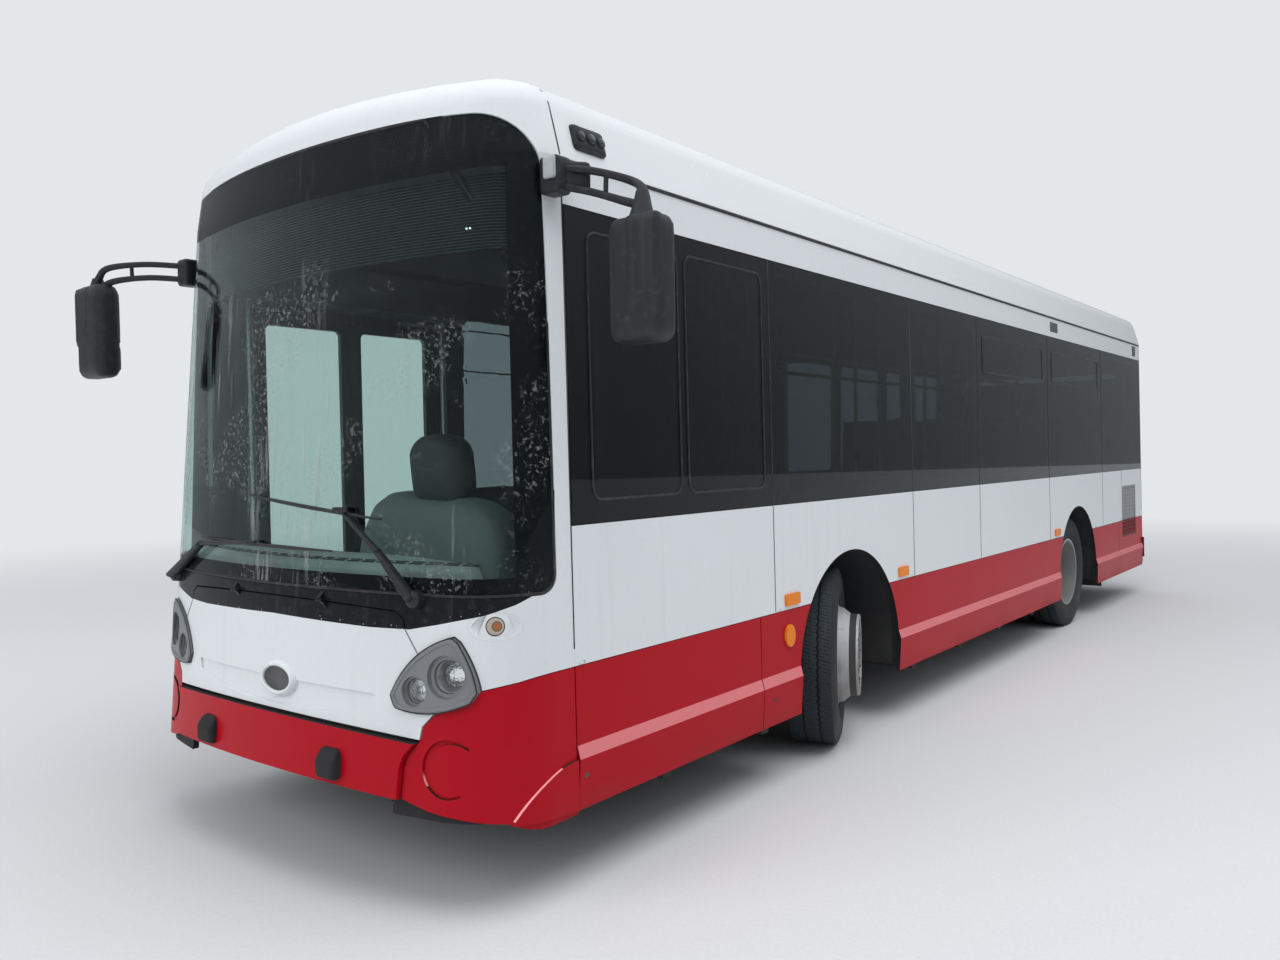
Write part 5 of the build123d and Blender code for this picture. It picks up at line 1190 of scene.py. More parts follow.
def tyre_rubber(name, hub, out, twin=False):
    """Rubber with a grooved tread, ribbed sidewalls and road dust; its grooves are painted near
    black as painted shade.
    """
    made = finish(
        name, (0.022, 0.024, 0.027), (0.085, 0.083, 0.080), 0.72, streaks=0.0, mottle=0.5,
        grain_size=500.0, grain=0.6, depth=0.0008, shine=0.35,
    )
    tree = made.node_tree
    shader = tree.nodes["Principled BSDF"]
    axle = use_group(tree, round_axle, hub=tuple(hub), out=tuple(out))
    along, radius, turn = (axle.outputs[label] for label in ("Along", "Radius", "Turn"))
    if twin:
        along = reckon(tree, "SUBTRACT", reckon(tree, "ABSOLUTE", along), TWIN_HALF)
    tread = reckon(tree, "GREATER_THAN", radius, TREAD_FROM)
    zigzag = reckon(tree, "PINGPONG", reckon(tree, "MULTIPLY", turn, 12.0), 0.5)
    middle = reckon(tree, "SUBTRACT", along, reckon(tree, "MULTIPLY", zigzag, 0.014))
    beside = reckon(tree, "SUBTRACT", reckon(tree, "ABSOLUTE", middle), GROOVE_PLACE)
    deep = fade(tree, reckon(tree, "ABSOLUTE", beside), 0.0044, 0.0062, 1.0, 0.0)
    thin = reckon(tree, "PINGPONG", reckon(tree, "ADD", middle, 0.055), 0.0275)
    thin_cut = reckon(tree, "MULTIPLY", fade(tree, thin, 0.0008, 0.0018, 1.0, 0.0), 0.35)
    slant = reckon(
        tree, "ADD", reckon(tree, "MULTIPLY", turn, 26.0), reckon(tree, "MULTIPLY", along, 14.0)
    )
    cross = fade(tree, reckon(tree, "PINGPONG", slant, 0.5), 0.08, 0.22, 1.0, 0.0)
    broken = fade(tree, noise_in(tree, place_of(tree), 90.0, 2.0), 0.44, 0.56)
    cross_cut = reckon(tree, "MULTIPLY", cross, reckon(tree, "MULTIPLY", broken, 0.6))
    cuts = reckon(tree, "MULTIPLY", tread, chained(tree, "MAXIMUM", deep, thin_cut, cross_cut))
    ribs = reckon(
        tree, "MULTIPLY", fade(tree, reckon(tree, "PINGPONG", radius, RIB_STEP), 0.001, 0.003),
        reckon(tree, "MAXIMUM", *[between(tree, radius, *band) for band in RIB_BANDS]),
    )
    plain = shader.inputs["Base Color"].links[0].from_socket
    worn = blended(tree, tread, plain, (0.036, 0.043, 0.050))
    # The grooves' near-black colour is painted shade standing for their depth; the rubber itself is
    # no darker there.
    tree.links.new(blended(tree, cuts, worn, (0.004, 0.004, 0.005)), shader.inputs["Base Color"])
    height = reckon(tree, "SUBTRACT", reckon(tree, "MULTIPLY", ribs, 0.25), cuts)
    emboss(tree, shader, height, 0.006)
    return made


# Tyre section: place out along the axle and distance from it
TYRE_LINE = (
    (-0.1037, 0.2858), (-0.124, 0.318), (-0.1372, 0.385), (-0.132, 0.440), (-0.118, 0.481),
    (-0.108, 0.4875), (0.0, 0.488), (0.108, 0.4875), (0.118, 0.481), (0.132, 0.440),
    (0.1372, 0.385), (0.124, 0.318), (0.1037, 0.2858),
)


def turned(profile, hub, out, sides, shift=0.0):
    """A profile of (out, radius) turned about an axle."""
    points = []
    for along, radius in profile:
        middle = hub + out * (along + shift)
        points += hoop(middle, out.cross(UP) * radius, UP * radius, sides)
    return points, hoop_faces(len(profile), sides)


for side_name, hub, out in FRONT_WHEELS:
    rubber = tyre_rubber("front_" + side_name + "_tyre_rubber", hub, out)
    tyre = new_piece(
        "front_" + side_name + "_road_tyre", [turned(TYRE_LINE, hub, out, 56)], rubber,
        "tyre_rubber", body="front_" + side_name + "_wheel",
    )
    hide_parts("front_" + side_name + "_tyre")
for side_name, hub, out in REAR_WHEELS:
    rubber = tyre_rubber("rear_" + side_name + "_tyre_rubber", hub, out, twin=True)
    twins = [turned(TYRE_LINE, hub, out, 32, shift) for shift in (-TWIN_HALF, TWIN_HALF)]
    tyres = new_piece(
        "rear_" + side_name + "_road_tyres", twins, rubber, "tyre_rubber",
        body="rear_" + side_name + "_wheels",
    )
    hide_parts("rear_" + side_name + "_tyres")

HUB_RADIUS, DARK_FROM = 0.128, 0.200


def rim_paint(name, hub, out, colour, dark_band, rust):
    """Rim enamel, dark round the hub and in a ring between two places along the axle."""
    def place_round(tree, label):
        return use_group(tree, round_axle, hub=tuple(hub), out=tuple(out)).outputs[label]

    def dark_ring(tree):
        return reckon(tree, "MULTIPLY", between(tree, place_round(tree, "Along"), *dark_band),
                      reckon(tree, "GREATER_THAN", place_round(tree, "Radius"), DARK_FROM))

    def hub_part(tree):
        return reckon(tree, "LESS_THAN", place_round(tree, "Radius"), HUB_RADIUS)

    return finish(
        name, colour, rust, 0.36, reach=1.0, streaks=0.25, mottle=0.45, grain_size=700.0,
        grain=0.4, wave=0.2, depth=0.0006, metal=0.35,
        zones=((dark_ring, (0.045, 0.047, 0.05), 0.55), (hub_part, (0.10, 0.10, 0.105), 0.5)),
    )


for side_name, hub, out in FRONT_WHEELS:
    enamel = rim_paint("front_" + side_name + "_rim_paint", hub, out, (0.50, 0.51, 0.52),
                       (0.188, 0.224), (0.16, 0.14, 0.12))
    dress(enamel, "front_" + side_name + "_rim")
for side_name, hub, out in REAR_WHEELS:
    enamel = rim_paint("rear_" + side_name + "_rim_paint", hub, out, (0.38, 0.385, 0.395),
                       (0.9, 0.91), (0.24, 0.23, 0.22))
    dress(enamel, "rear_" + side_name + "_rims")


def nut(place, aim, across, height, stud):
    """A six-sided nut with a chamfered top, on a washer, with the stud's end showing."""
    side_way = aim.orthogonal().normalized()
    up_way = aim.cross(side_way)
    points, faces = [], []
    for sides, rings in (
        (24, ((0.74, 0.0), (0.74, 0.16), (0.60, 0.16))),
        (6, ((0.577, 0.10), (0.577, 0.86), (0.50, 1.0), (0.30, 1.0))),
        (12, ((0.30, 0.98), (0.30, stud), (0.22, stud + 0.12))),
    ):
        faces += hoop_faces(len(rings), sides, start=len(points))
        for radius, lift in rings:
            reach = radius * across
            points += hoop(place + aim * lift * height, side_way * reach, up_way * reach, sides)
    faces.append(tuple(range(len(points) - 12, len(points))))
    return points, faces


def nut_ring(hub, out, along, ring, count, across, height, stud):
    spots = hoop(hub + out * along, out.cross(UP) * ring, UP * ring, count)
    return [nut(spot, out, across, height, stud) for spot in spots]


nut_steel = finish(
    "wheel_nut_steel", (0.34, 0.33, 0.32), (0.16, 0.09, 0.055), 0.42, reach=1.0, streaks=0.0,
    mottle=0.6, grain_size=400.0, grain=0.5, depth=0.0005, metal=0.8,
)
for side_name, hub, out in FRONT_WHEELS:
    nuts = nut_ring(hub, out, 0.2075, 0.150, 10, 0.030, 0.018, 1.5)
    nuts += nut_ring(hub, out, 0.2245, 0.040, 6, 0.014, 0.008, 1.1)
    new_piece("front_" + side_name + "_wheel_nuts", nuts, nut_steel, "rim_steel",
              body="front_" + side_name + "_wheel", smooth=False)
for side_name, hub, out in REAR_WHEELS:
    nuts = nut_ring(hub, out, 0.0155, 0.134, 10, 0.030, 0.020, 1.6)
    nuts += nut_ring(hub, out, 0.1495, 0.045, 8, 0.016, 0.009, 1.1)
    new_piece("rear_" + side_name + "_wheel_nuts", nuts, nut_steel, "rim_steel",
              body="rear_" + side_name + "_wheels", smooth=False)


# Running gear and underbody: a welded ladder frame, forged axles with air springs, arch liners
# and an engine block, all under black chassis paint thick with road dirt, rust at the edges.
chassis_paint = finish(
    "chassis_paint", (0.018, 0.018, 0.019), (0.085, 0.075, 0.065), 0.6, reach=1.3, streaks=0.2,
    mottle=0.6, grain_size=220.0, grain=0.8, depth=0.0012,
)
dress(chassis_paint, "underframe", "front_axle", "rear_axle", "left_knuckle", "right_knuckle")
liner_black = finish(
    "arch_liner", (0.016, 0.017, 0.019), (0.075, 0.072, 0.068), 0.7, reach=1.0, streaks=0.3,
    mottle=0.6, grain_size=160.0, grain=1.0, depth=0.0016,
)
dress(liner_black, "wheel_boxes")
engine_cast = finish(
    "engine_casting", (0.16, 0.165, 0.17), (0.06, 0.05, 0.04), 0.55, reach=1.6, streaks=0.4,
    mottle=0.8, grain_size=140.0, grain=1.0, depth=0.0018, metal=0.6,
)
dress(engine_cast, "engine")
flap_rubber = finish(
    "mudflap_rubber", (0.018, 0.018, 0.019), (0.10, 0.095, 0.088), 0.75, reach=1.0, streaks=0.4,
    mottle=0.5, grain_size=120.0, grain=0.8, depth=0.0014,
)
dress(flap_rubber, "mudflaps")


# Cabin: speckled vinyl floor, a grey-green dashboard moulding with a row of demister slots along
# the foot of the windscreen, and a rounded cowl over the instruments.
def floor_specks(tree):
    return fade(tree, noise_in(tree, place_of(tree), 260.0, 1.0), 0.62, 0.66)


vinyl = finish(
    "floor_vinyl", (0.050, 0.054, 0.060), (0.12, 0.115, 0.105), 0.55, reach=0.0, streaks=0.0,
    mottle=0.5, grain_size=240.0, grain=0.3, depth=0.0006,
    zones=((floor_specks, (0.20, 0.21, 0.22), 0.5),),
)
dress(vinyl, "floor")
DASH_DARK_BELOW = 1.05
dash_moulding = finish(
    "dashboard_moulding", (0.42, 0.46, 0.46), (0.32, 0.31, 0.29), 0.5, reach=0.0, streaks=0.0,
    mottle=0.3, grain_size=620.0, grain=0.9, depth=0.0007,
    zones=((below("Z", DASH_DARK_BELOW), (0.07, 0.075, 0.08), 0.6),),
)
dress(dash_moulding, "dashboard")
dash_black = finish(
    "dashboard_black", (0.010, 0.011, 0.012), (0.10, 0.10, 0.10), 0.45, reach=0.0, streaks=0.0,
    mottle=0.3, grain_size=700.0, grain=0.6, depth=0.0005,
)
# Demister duct: how far in from the dashboard's curved front edge, and height
DUCT_LINE = (
    (0.004, 1.120), (0.004, 1.196), (0.012, 1.212), (0.030, 1.221), (0.090, 1.238),
    (0.150, 1.248), (0.190, 1.244), (0.215, 1.226), (0.232, 1.190), (0.240, 1.140),
)
DASH_ARC_Y, DASH_ARC_R = -1.636, 3.316
DUCT_HALF, DUCT_FOOT, DUCT_END, DUCT_STEPS = 0.962, 1.120, 0.05, 48
SLOT_COUNT, SLOT_START, SLOT_PITCH, SLOT_IN = 24, -0.897, 0.078, 0.060


def dash_edge(x, inward):
    return DASH_ARC_Y - math.sqrt((DASH_ARC_R - inward) ** 2 - x ** 2)


def sheet_faces(rows, columns, under=False):
    """Faces of a sheet of points that are given row by row, seen from above or from under."""
    faces = []
    for row in range(rows - 1):
        for here in range(row * columns, (row + 1) * columns - 1):
            there = here + columns
            faces.append((here, there, there + 1, here + 1) if under
                         else (here, here + 1, there + 1, there))
    return faces


duct_points = []
for x in spread(-DUCT_HALF, DUCT_HALF, DUCT_STEPS):
    from_end_share = min(1.0, (DUCT_HALF + 0.0005 - abs(x)) / DUCT_END)
    swell = math.sqrt(max(1 - (1 - from_end_share) ** 2, 0))
    for inward, height in DUCT_LINE:
        duct_points.append((x, dash_edge(x, inward), DUCT_FOOT + (height - DUCT_FOOT) * swell))
duct = (duct_points, sheet_faces(DUCT_STEPS + 1, len(DUCT_LINE), under=True))
new_piece("demister_duct", [duct], dash_moulding, "grey_plastic")
slot_parts = []
for number in range(SLOT_COUNT):
    x = SLOT_START + SLOT_PITCH * number
    place = Vector((x, dash_edge(x, SLOT_IN), 1.2300))
    turn = (0, 0, math.degrees(math.asin(x / (DASH_ARC_R - SLOT_IN))))
    slot_parts.append(placed(rounded_box((0.060, 0.017, 0.004), 0.0019, cuts=3), place, turn))
    for edge in (-1, 1):
        lip = rounded_box((0.064, 0.003, 0.007), 0.0014, cuts=2)
        beside = place + Vector((0, edge * 0.010, 0.001 + edge * 0.002))
        slot_parts.append(placed(lip, beside, turn))
new_piece("demister_slots", slot_parts, dash_black, "black_plastic")

# Cowl section over the instruments: place along the bus and share of the height
COWL_LINE = (
    (-4.770, 0.0), (-4.768, 0.35), (-4.752, 0.72), (-4.722, 0.92), (-4.680, 0.99), (-4.630, 1.0),
    (-4.585, 0.985), (-4.560, 0.93), (-4.552, 0.80), (-4.566, 0.66), (-4.545, 0.30), (-4.540, 0.0),
)
COWL_X, COWL_HALF, COWL_FOOT, COWL_STEPS = 0.590, 0.420, 1.136, 36
cowl_points = []
for share in spread(-1, 1, COWL_STEPS):
    rise = (0.345 - 0.030 * share) * max(1 - abs(share) ** 5, 0) ** 0.5 + 0.002
    for y, part in COWL_LINE:
        cowl_points.append(
            (COWL_X + COWL_HALF * share, y + 0.035 * share ** 4, COWL_FOOT + rise * part)
        )
cowl = (cowl_points, sheet_faces(COWL_STEPS + 1, len(COWL_LINE)))
cowl_moulding = finish(
    "cowl_moulding", (0.14, 0.16, 0.16), (0.20, 0.20, 0.19), 0.42, reach=0.5, streaks=0.0,
    mottle=0.2, grain=0.5, depth=0.0006, shine=0.35,
)
new_piece("instrument_cowl", [cowl], cowl_moulding, "grey_plastic")
hood = rounded_box((0.27, 0.17, 0.26), 0.075, crown=0.012)
hood = placed(hood, (0.625, -4.655, 1.575), (6, 0, 0))
new_piece("instrument_hood", [hood], dash_black, "black_plastic")
dial_face = finish(
    "dial_face", (0.015, 0.018, 0.022), (0.1, 0.1, 0.1), 0.12, streaks=0.0, mottle=0.2, coat=1.0,
)
dials = placed(rounded_box((0.46, 0.010, 0.150), 0.0045), (COWL_X, -4.5470, 1.300), (-5, 0, 0))
new_piece("instrument_panel", [dials], dial_face, "black_plastic")
# The dials' rings lean back with the panel by five degrees
ring_parts, RING_UP = [], Vector((0, 0.087, 0.996))
for x, radius in ((0.470, 0.055), (0.710, 0.055), (0.590, 0.036)):
    ring = hoop(Vector((x, -4.5410, 1.302)), Vector((radius, 0, 0)), RING_UP * radius, 32)
    ring_parts.append(pipe(ring + ring[:1], (0.0028, 0.0028), sides=8, steps=1))
new_piece("dial_rings", ring_parts, silver, "silver_plastic")

# Steering wheel: foam rim moulded in black over steel, with four spokes
wheel_foam = finish(
    "steering_wheel_foam", (0.014, 0.014, 0.015), (0.06, 0.055, 0.05), 0.48, reach=0.0,
    streaks=0.0, mottle=0.4, grain_size=380.0, grain=0.8, depth=0.0007,
)
dress(wheel_foam, "steering_wheel")

# Control stalks beside the steering column, black moulded levers
COLUMN_X = 0.62
stalk_parts = [
    pipe(((COLUMN_X + hand * 0.030, -4.325, 0.985), (COLUMN_X + hand * 0.110, -4.330, 1.010),
          (COLUMN_X + hand * 0.170, -4.318, 1.030)), (0.008, 0.008, 0.012), sides=12)
    for hand in (-1, 1)
]
new_piece("column_stalks", stalk_parts, dash_black, "black_plastic")


# Seats: moulded grey shells on steel pedestals, with thin foam pads covered in patterned blue
# moquette that is sewn round the edge with a corded seam. The driver's seat is deeper, in cloth.
PAD_NIP = 0.012


def pad_shape(size, swell, nip=PAD_NIP, radius=0.012, channels=(), cuts=11):
    """A crowned pad: sides drawn in between its corners, and sewn channels across it."""
    half = [length / 2 for length in size]

    def new_place(u, v, w):
        nips = (nip * (1 - v * v), nip * (1 - u * u), 0)
        where = Vector((u * (half[0] - nips[0]), v * (half[1] - nips[1]), w * half[2]))
        where = round_edges(where, half, radius, nips)
        if w > 0:
            where.z += swell * w * (1 - u ** 4) * (1 - v ** 4)
            for middle in channels:
                where.z -= 0.55 * swell * w * (1 - u ** 6) * math.exp(-((v - middle) / 0.07) ** 2)
        return where
    return reshaped_cube(cuts, new_place)


def edge_cord(size):
    """The corded seam round the upper edge of a pad."""
    line = []
    for step in range(65):
        turn = 2 * math.pi * step / 64
        u = max(-1, min(1, 1.30 * math.cos(turn)))
        v = max(-1, min(1, 1.30 * math.sin(turn)))
        line.append((u * (size[0] / 2 - PAD_NIP * (1 - v * v)),
                     v * (size[1] / 2 - PAD_NIP * (1 - u * u)), size[2] * 0.25))
    return pipe(line, (0.0026, 0.0026), sides=6, steps=1)


def moquette_dots(tree):
    cells = tree.nodes.new("ShaderNodeTexVoronoi")
    cells.inputs["Scale"].default_value = 46
    tree.links.new(place_of(tree), cells.inputs["Vector"])
    return fade(tree, cells.outputs["Distance"], 0.26, 0.32, 1.0, 0.0)


def moquette_weave(tree):
    flattened = vector_step(tree, "MULTIPLY", place_of(tree), (1, 1, 3))
    return fade(tree, noise_in(tree, flattened, 520.0), 0.42, 0.62)


moquette = finish(
    "seat_moquette", (0.022, 0.055, 0.115), (0.10, 0.10, 0.10), 0.92, reach=0.0, streaks=0.0,
    mottle=0.25, grain_size=640.0, grain=1.0, depth=0.0014, shine=0.2,
    zones=((moquette_weave, (0.030, 0.072, 0.150), 0.95),
           (moquette_dots, (0.16, 0.05, 0.04), 0.95)),
)
moquette.node_tree.nodes["Principled BSDF"].inputs["Sheen Weight"].default_value = 0.35
driver_cloth = finish(
    "driver_seat_cloth", (0.018, 0.020, 0.024), (0.10, 0.10, 0.10), 0.93, reach=0.0,
    streaks=0.0, mottle=0.25, grain_size=560.0, grain=1.0, depth=0.0014, shine=0.2,
    zones=((moquette_weave, (0.032, 0.036, 0.042), 0.95),),
)
driver_cloth.node_tree.nodes["Principled BSDF"].inputs["Sheen Weight"].default_value = 0.3
seat_shell = finish(
    "seat_shell_plastic", (0.15, 0.16, 0.17), (0.08, 0.08, 0.08), 0.42, reach=0.0, streaks=0.0,
    mottle=0.3, grain_size=700.0, grain=0.7, depth=0.0006,
)
seat_steel = finish(
    "seat_frame_steel", (0.06, 0.062, 0.066), (0.12, 0.11, 0.10), 0.4, reach=0.0, streaks=0.0,
    mottle=0.3, grain_size=300.0, grain=0.4, metal=0.3,
)
# Seat rows: their right and left ends across the bus, front edge, height of the deck they stand
# on, and number of places
SEAT_ROWS = (
    (0.310, 1.085, -1.500, 0.370, 2), (0.310, 1.085, -0.720, 0.370, 2),
    (0.310, 1.085, 0.080, 0.370, 2), (0.310, 1.085, 0.880, 0.370, 2),
    (-1.085, -0.310, -1.500, 0.370, 2), (-1.085, -0.310, -0.880, 0.370, 2),
    (0.310, 1.085, 1.720, 0.850, 2), (0.310, 1.085, 2.460, 0.850, 2),
    (0.310, 1.085, 3.240, 0.850, 2), (-1.085, -0.310, 1.720, 0.850, 2),
    (-1.085, -0.310, 2.460, 0.850, 2), (-1.085, -0.310, 3.240, 0.850, 2),
    (-1.050, 1.050, 4.230, 1.290, 5),
)
# Grab handle on a seat's back: steps in from the aisle, place behind the back and height
HANDLE_LINE = (
    (1, 0.058, 0.520), (1, 0.066, 0.610), (2, 0.068, 0.634), (6, 0.068, 0.634), (7, 0.066, 0.610),
    (7, 0.058, 0.520),
)
SEAT_RISE, SEAT_DEEP, BACK_TURN, HANDLE_STEP = 0.440, 0.400, (85.6, 0, 0), 0.030
shells, frames, cords, pads = [], [], [], []
for low_x, high_x, front_y, deck, places in SEAT_ROWS:
    top, back_y = deck + SEAT_RISE, front_y + SEAT_DEEP
    width = (high_x - low_x) / places
    for number in range(places):
        x = low_x + width * (number + 0.5)
        shells.append(placed(rounded_box((width - 0.006, 0.420, 0.040), 0.018),
                             (x, front_y + 0.215, top - 0.050)))
        shells.append(placed(rounded_box((width - 0.006, 0.680, 0.026), 0.012),
                             (x, back_y + 0.047, top + 0.285), BACK_TURN))
        for size, place, turn, channels in (
            ((width - 0.030, 0.372, 0.026), (x, front_y + 0.195, top - 0.022), (0, 0, 0),
             (-0.35, 0.35)),
            ((width - 0.030, 0.560, 0.024), (x, back_y + 0.024, top + 0.318), BACK_TURN,
             (-0.62, 0.55)),
        ):
            cords.append(placed(edge_cord(size), place, turn))
            pads.append((size, place, turn, channels))
    legs = [low_x + 0.060 if low_x > 0 else high_x - 0.060]
    if places == 5:
        legs = [low_x + 0.12, high_x - 0.12]
    for x in legs:
        frames.append(placed(rounded_box((0.100, 0.180, top - deck - 0.070), 0.016),
                             (x, front_y + 0.230, (deck + top - 0.068) / 2)))
        frames.append(placed(rounded_box((0.118, 0.220, 0.012), 0.004),
                             (x, front_y + 0.230, deck + 0.008)))
    if places == 2:
        aisle, step = (low_x, HANDLE_STEP) if low_x > 0 else (high_x, -HANDLE_STEP)
        handle = [(aisle + steps * step, back_y + back, top + up)
                  for steps, back, up in HANDLE_LINE]
        frames.append(pipe(handle, (0.010, 0.010), sides=10, steps=5))
shell_piece = new_piece("seat_shells", shells, seat_shell, "grey_plastic")
frame_piece = new_piece("seat_frames", frames, seat_steel, "frame_paint")
cord_piece = new_piece("seat_seams", cords, driver_cloth, "seat_fabric")
for made in (shell_piece, frame_piece, cord_piece):
    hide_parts("passenger_seats")
for number, (size, place, turn, channels) in enumerate(pads):
    shape = placed(pad_shape(size, 0.012, channels=channels, cuts=9), place, turn)
    pad = new_piece("seat_pad_%02d" % (number + 1), [shape], moquette, "seat_fabric")
    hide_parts("passenger_seats")

# Driver's seat: two deep cushions and a headrest on a bellows pedestal
DRIVER_X, PEDESTAL_Y = 0.62, -3.935
for name, size, place, turn, channels in (
    ("driver_seat_cushion", (0.450, 0.440, 0.075), (DRIVER_X, -3.970, 0.778), (-2, 0, 0),
     (-0.4, 0.1)),
    ("driver_seat_back", (0.450, 0.660, 0.070), (DRIVER_X, -3.690, 1.160), (83.5, 0, 0),
     (-0.5, 0.1)),
    ("driver_headrest", (0.225, 0.200, 0.060), (DRIVER_X, -3.632, 1.560), (82, 0, 0), ()),
):
    shape = placed(pad_shape(size, 0.022, nip=0.016, radius=0.026, channels=channels), place, turn)
    pad = new_piece(name, [shape], driver_cloth, "seat_fabric")
    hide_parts("driver_seat")
pedestal = []
for fold in range(7):
    nip = 0.018 * (fold % 2)
    pedestal.append(placed(rounded_box((0.330 - nip, 0.340 - nip, 0.040), 0.016),
                           (DRIVER_X, PEDESTAL_Y, 0.480 + 0.036 * fold)))
pedestal.append(placed(rounded_box((0.336, 0.346, 0.090), 0.012), (DRIVER_X, PEDESTAL_Y, 0.4175)))
pedestal.append(placed(rounded_box((0.060, 0.200, 0.014), 0.006), (0.80, -3.930, 0.762)))
pedestal_piece = new_piece("driver_seat_pedestal", pedestal, dash_black, "black_plastic")
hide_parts("driver_seat")


# Cab partition and rails: a laminated grey panel with a sliding hatch line, and yellow-sprayed
# steel poles that stand in round flanges.
HATCH_FOOT = 1.16
partition_panel = finish(
    "partition_laminate", (0.09, 0.095, 0.10), (0.12, 0.12, 0.11), 0.4, reach=0.0, streaks=0.0,
    mottle=0.3, grain_size=500.0, grain=0.4,
    zones=((above("Z", HATCH_FOOT), (0.030, 0.034, 0.036), 0.12),),
)
dress(partition_panel, "driver_partition")
pole_yellow = finish(
    "pole_yellow", (0.60, 0.36, 0.012), (0.20, 0.16, 0.08), 0.32, reach=0.0, streaks=0.0,
    mottle=0.2, grain_size=300.0, grain=0.2, coat=0.3,
)
dress(pole_yellow, "handrails")
# Poles: side, place along the bus and height of the deck. One of them has no stop button.
POLE_PLACES = (
    (1, -2.900, 0.370), (1, -0.900, 0.370), (1, 0.700, 0.370), (1, 1.560, 0.850),
    (1, 3.080, 0.850), (-1, -3.000, 0.370), (-1, -1.700, 0.370), (-1, -0.360, 0.370),
    (-1, 1.060, 0.370), (-1, 1.560, 0.850), (-1, 3.080, 0.850),
)
POLE_X, POLE_HEAD, PLAIN_POLE_Y = 0.395, 2.250, -0.360
flange_parts = []
for side, y, deck in POLE_PLACES:
    x = side * POLE_X
    for foot, head, radii in ((0.0006, 0.008, (0.042, 0.040)), (0.008, 0.030, (0.024, 0.020))):
        flange_parts.append(pipe(((x, y, deck + foot), (x, y, deck + head)), radii, sides=20))
    clamp = ((x, y - 0.034, POLE_HEAD), (x, y + 0.034, POLE_HEAD))
    flange_parts.append(pipe(clamp, (0.021, 0.021)))
    if y != PLAIN_POLE_Y:
        flange_parts.append(placed(rounded_box((0.046, 0.040, 0.100), 0.012), (x, y, deck + 1.20)))
new_piece("pole_flanges", flange_parts, dash_black, "cast_metal")


# Doors: two pairs of glazed leaves in black-sprayed aluminium frames, on bare steel shafts that
# are turned by a covered gear above each doorway.
leaf_black = finish(
    "door_frame_paint", (0.014, 0.015, 0.017), (0.12, 0.118, 0.112), 0.28, reach=0.7,
    streaks=0.10, mottle=0.15, grain_size=500.0, grain=0.2, coat=0.3,
)
dress(leaf_black, *[leaf + "_leaf" for leaf in DOOR_LEAVES])
shaft_steel = finish(
    "shaft_steel", (0.42, 0.42, 0.41), (0.14, 0.10, 0.07), 0.35, reach=0.6, streaks=0.1,
    mottle=0.4, grain_size=300.0, grain=0.4, metal=0.9,
)
dress(shaft_steel, *[leaf + "_shaft" for leaf in DOOR_LEAVES])
gear_cover = finish(
    "door_gear_cover", (0.13, 0.135, 0.14), (0.10, 0.10, 0.10), 0.5, reach=0.0, streaks=0.0,
    mottle=0.3, grain_size=520.0, grain=0.6,
)
dress(gear_cover, "door_gear")
seal_parts = []
for middle_y in (-3.800, 0.350):
    for deep, tall, radius, x, z in (
        (0.004, 0.064, 0.0018, -1.1430, 2.4130), (0.006, 0.030, 0.0026, -1.1440, 0.3880),
    ):
        strip = rounded_box((deep, 1.262, tall), radius, cuts=3)
        seal_parts.append(placed(strip, (x, middle_y, z)))
new_piece("door_head_seals", seal_parts, pane_rubber, "black_rubber")


# Rear end: white engine lid with slots, round lamps with ribbed lenses, and the side air grille
# that is grey above the waist and sprayed red below it.
rear_white = finish(
    "rear_lid_paint", WHITE, ROAD_FILM, 0.24, reach=1.0, streaks=0.12, mottle=0.10,
    grain_size=420.0, grain=0.12, wave=0.5, depth=0.0012, coat=0.5,
    zones=((inside_mask, (0.03, 0.03, 0.03), 0.6),),
)
dress(rear_white, "rear_lid")

# Rear lamps on each side, from the foot up: clear, amber and red, each with three rubber rings
AMBER_FOOT, AMBER_HEAD, CLEAR_HEAD, REAR_LAMP_X = 1.085, 1.195, 1.075, 0.930
tail_red = finish(
    "tail_lens", (0.42, 0.008, 0.010), (0.16, 0.08, 0.07), 0.14, streaks=0.1, mottle=0.2,
    grain_size=190.0, grain=1.0, depth=0.0016, coat=1.0,
    zones=((within("Z", AMBER_FOOT, AMBER_HEAD), (0.62, 0.20, 0.02), 0.14),
           (below("Z", CLEAR_HEAD), (0.62, 0.63, 0.64), 0.12)),
)
dress(tail_red, "tail_lamps")
rim_parts = []
for hand in (-1, 1):
    for height in (1.010, 1.140, 1.270):
        middle = Vector((hand * REAR_LAMP_X, 0, height))
        for radius, gauge in ((0.050, 0.004), (0.030, 0.0016), (0.016, 0.0014)):
            ring = hoop(middle, Vector((radius, 0, 0)), UP * radius, 32)
            met = [from_end("tail_lamps rear_wall", 1, spot.x, spot.z)[0] for spot in ring]
            line = [place + Vector((0, 0.0005, 0)) for place in met + met[:1]]
            rim_parts.append(pipe(line, (gauge, gauge), sides=8, steps=1))
new_piece("tail_lamp_rims", rim_parts, pane_rubber, "black_rubber")

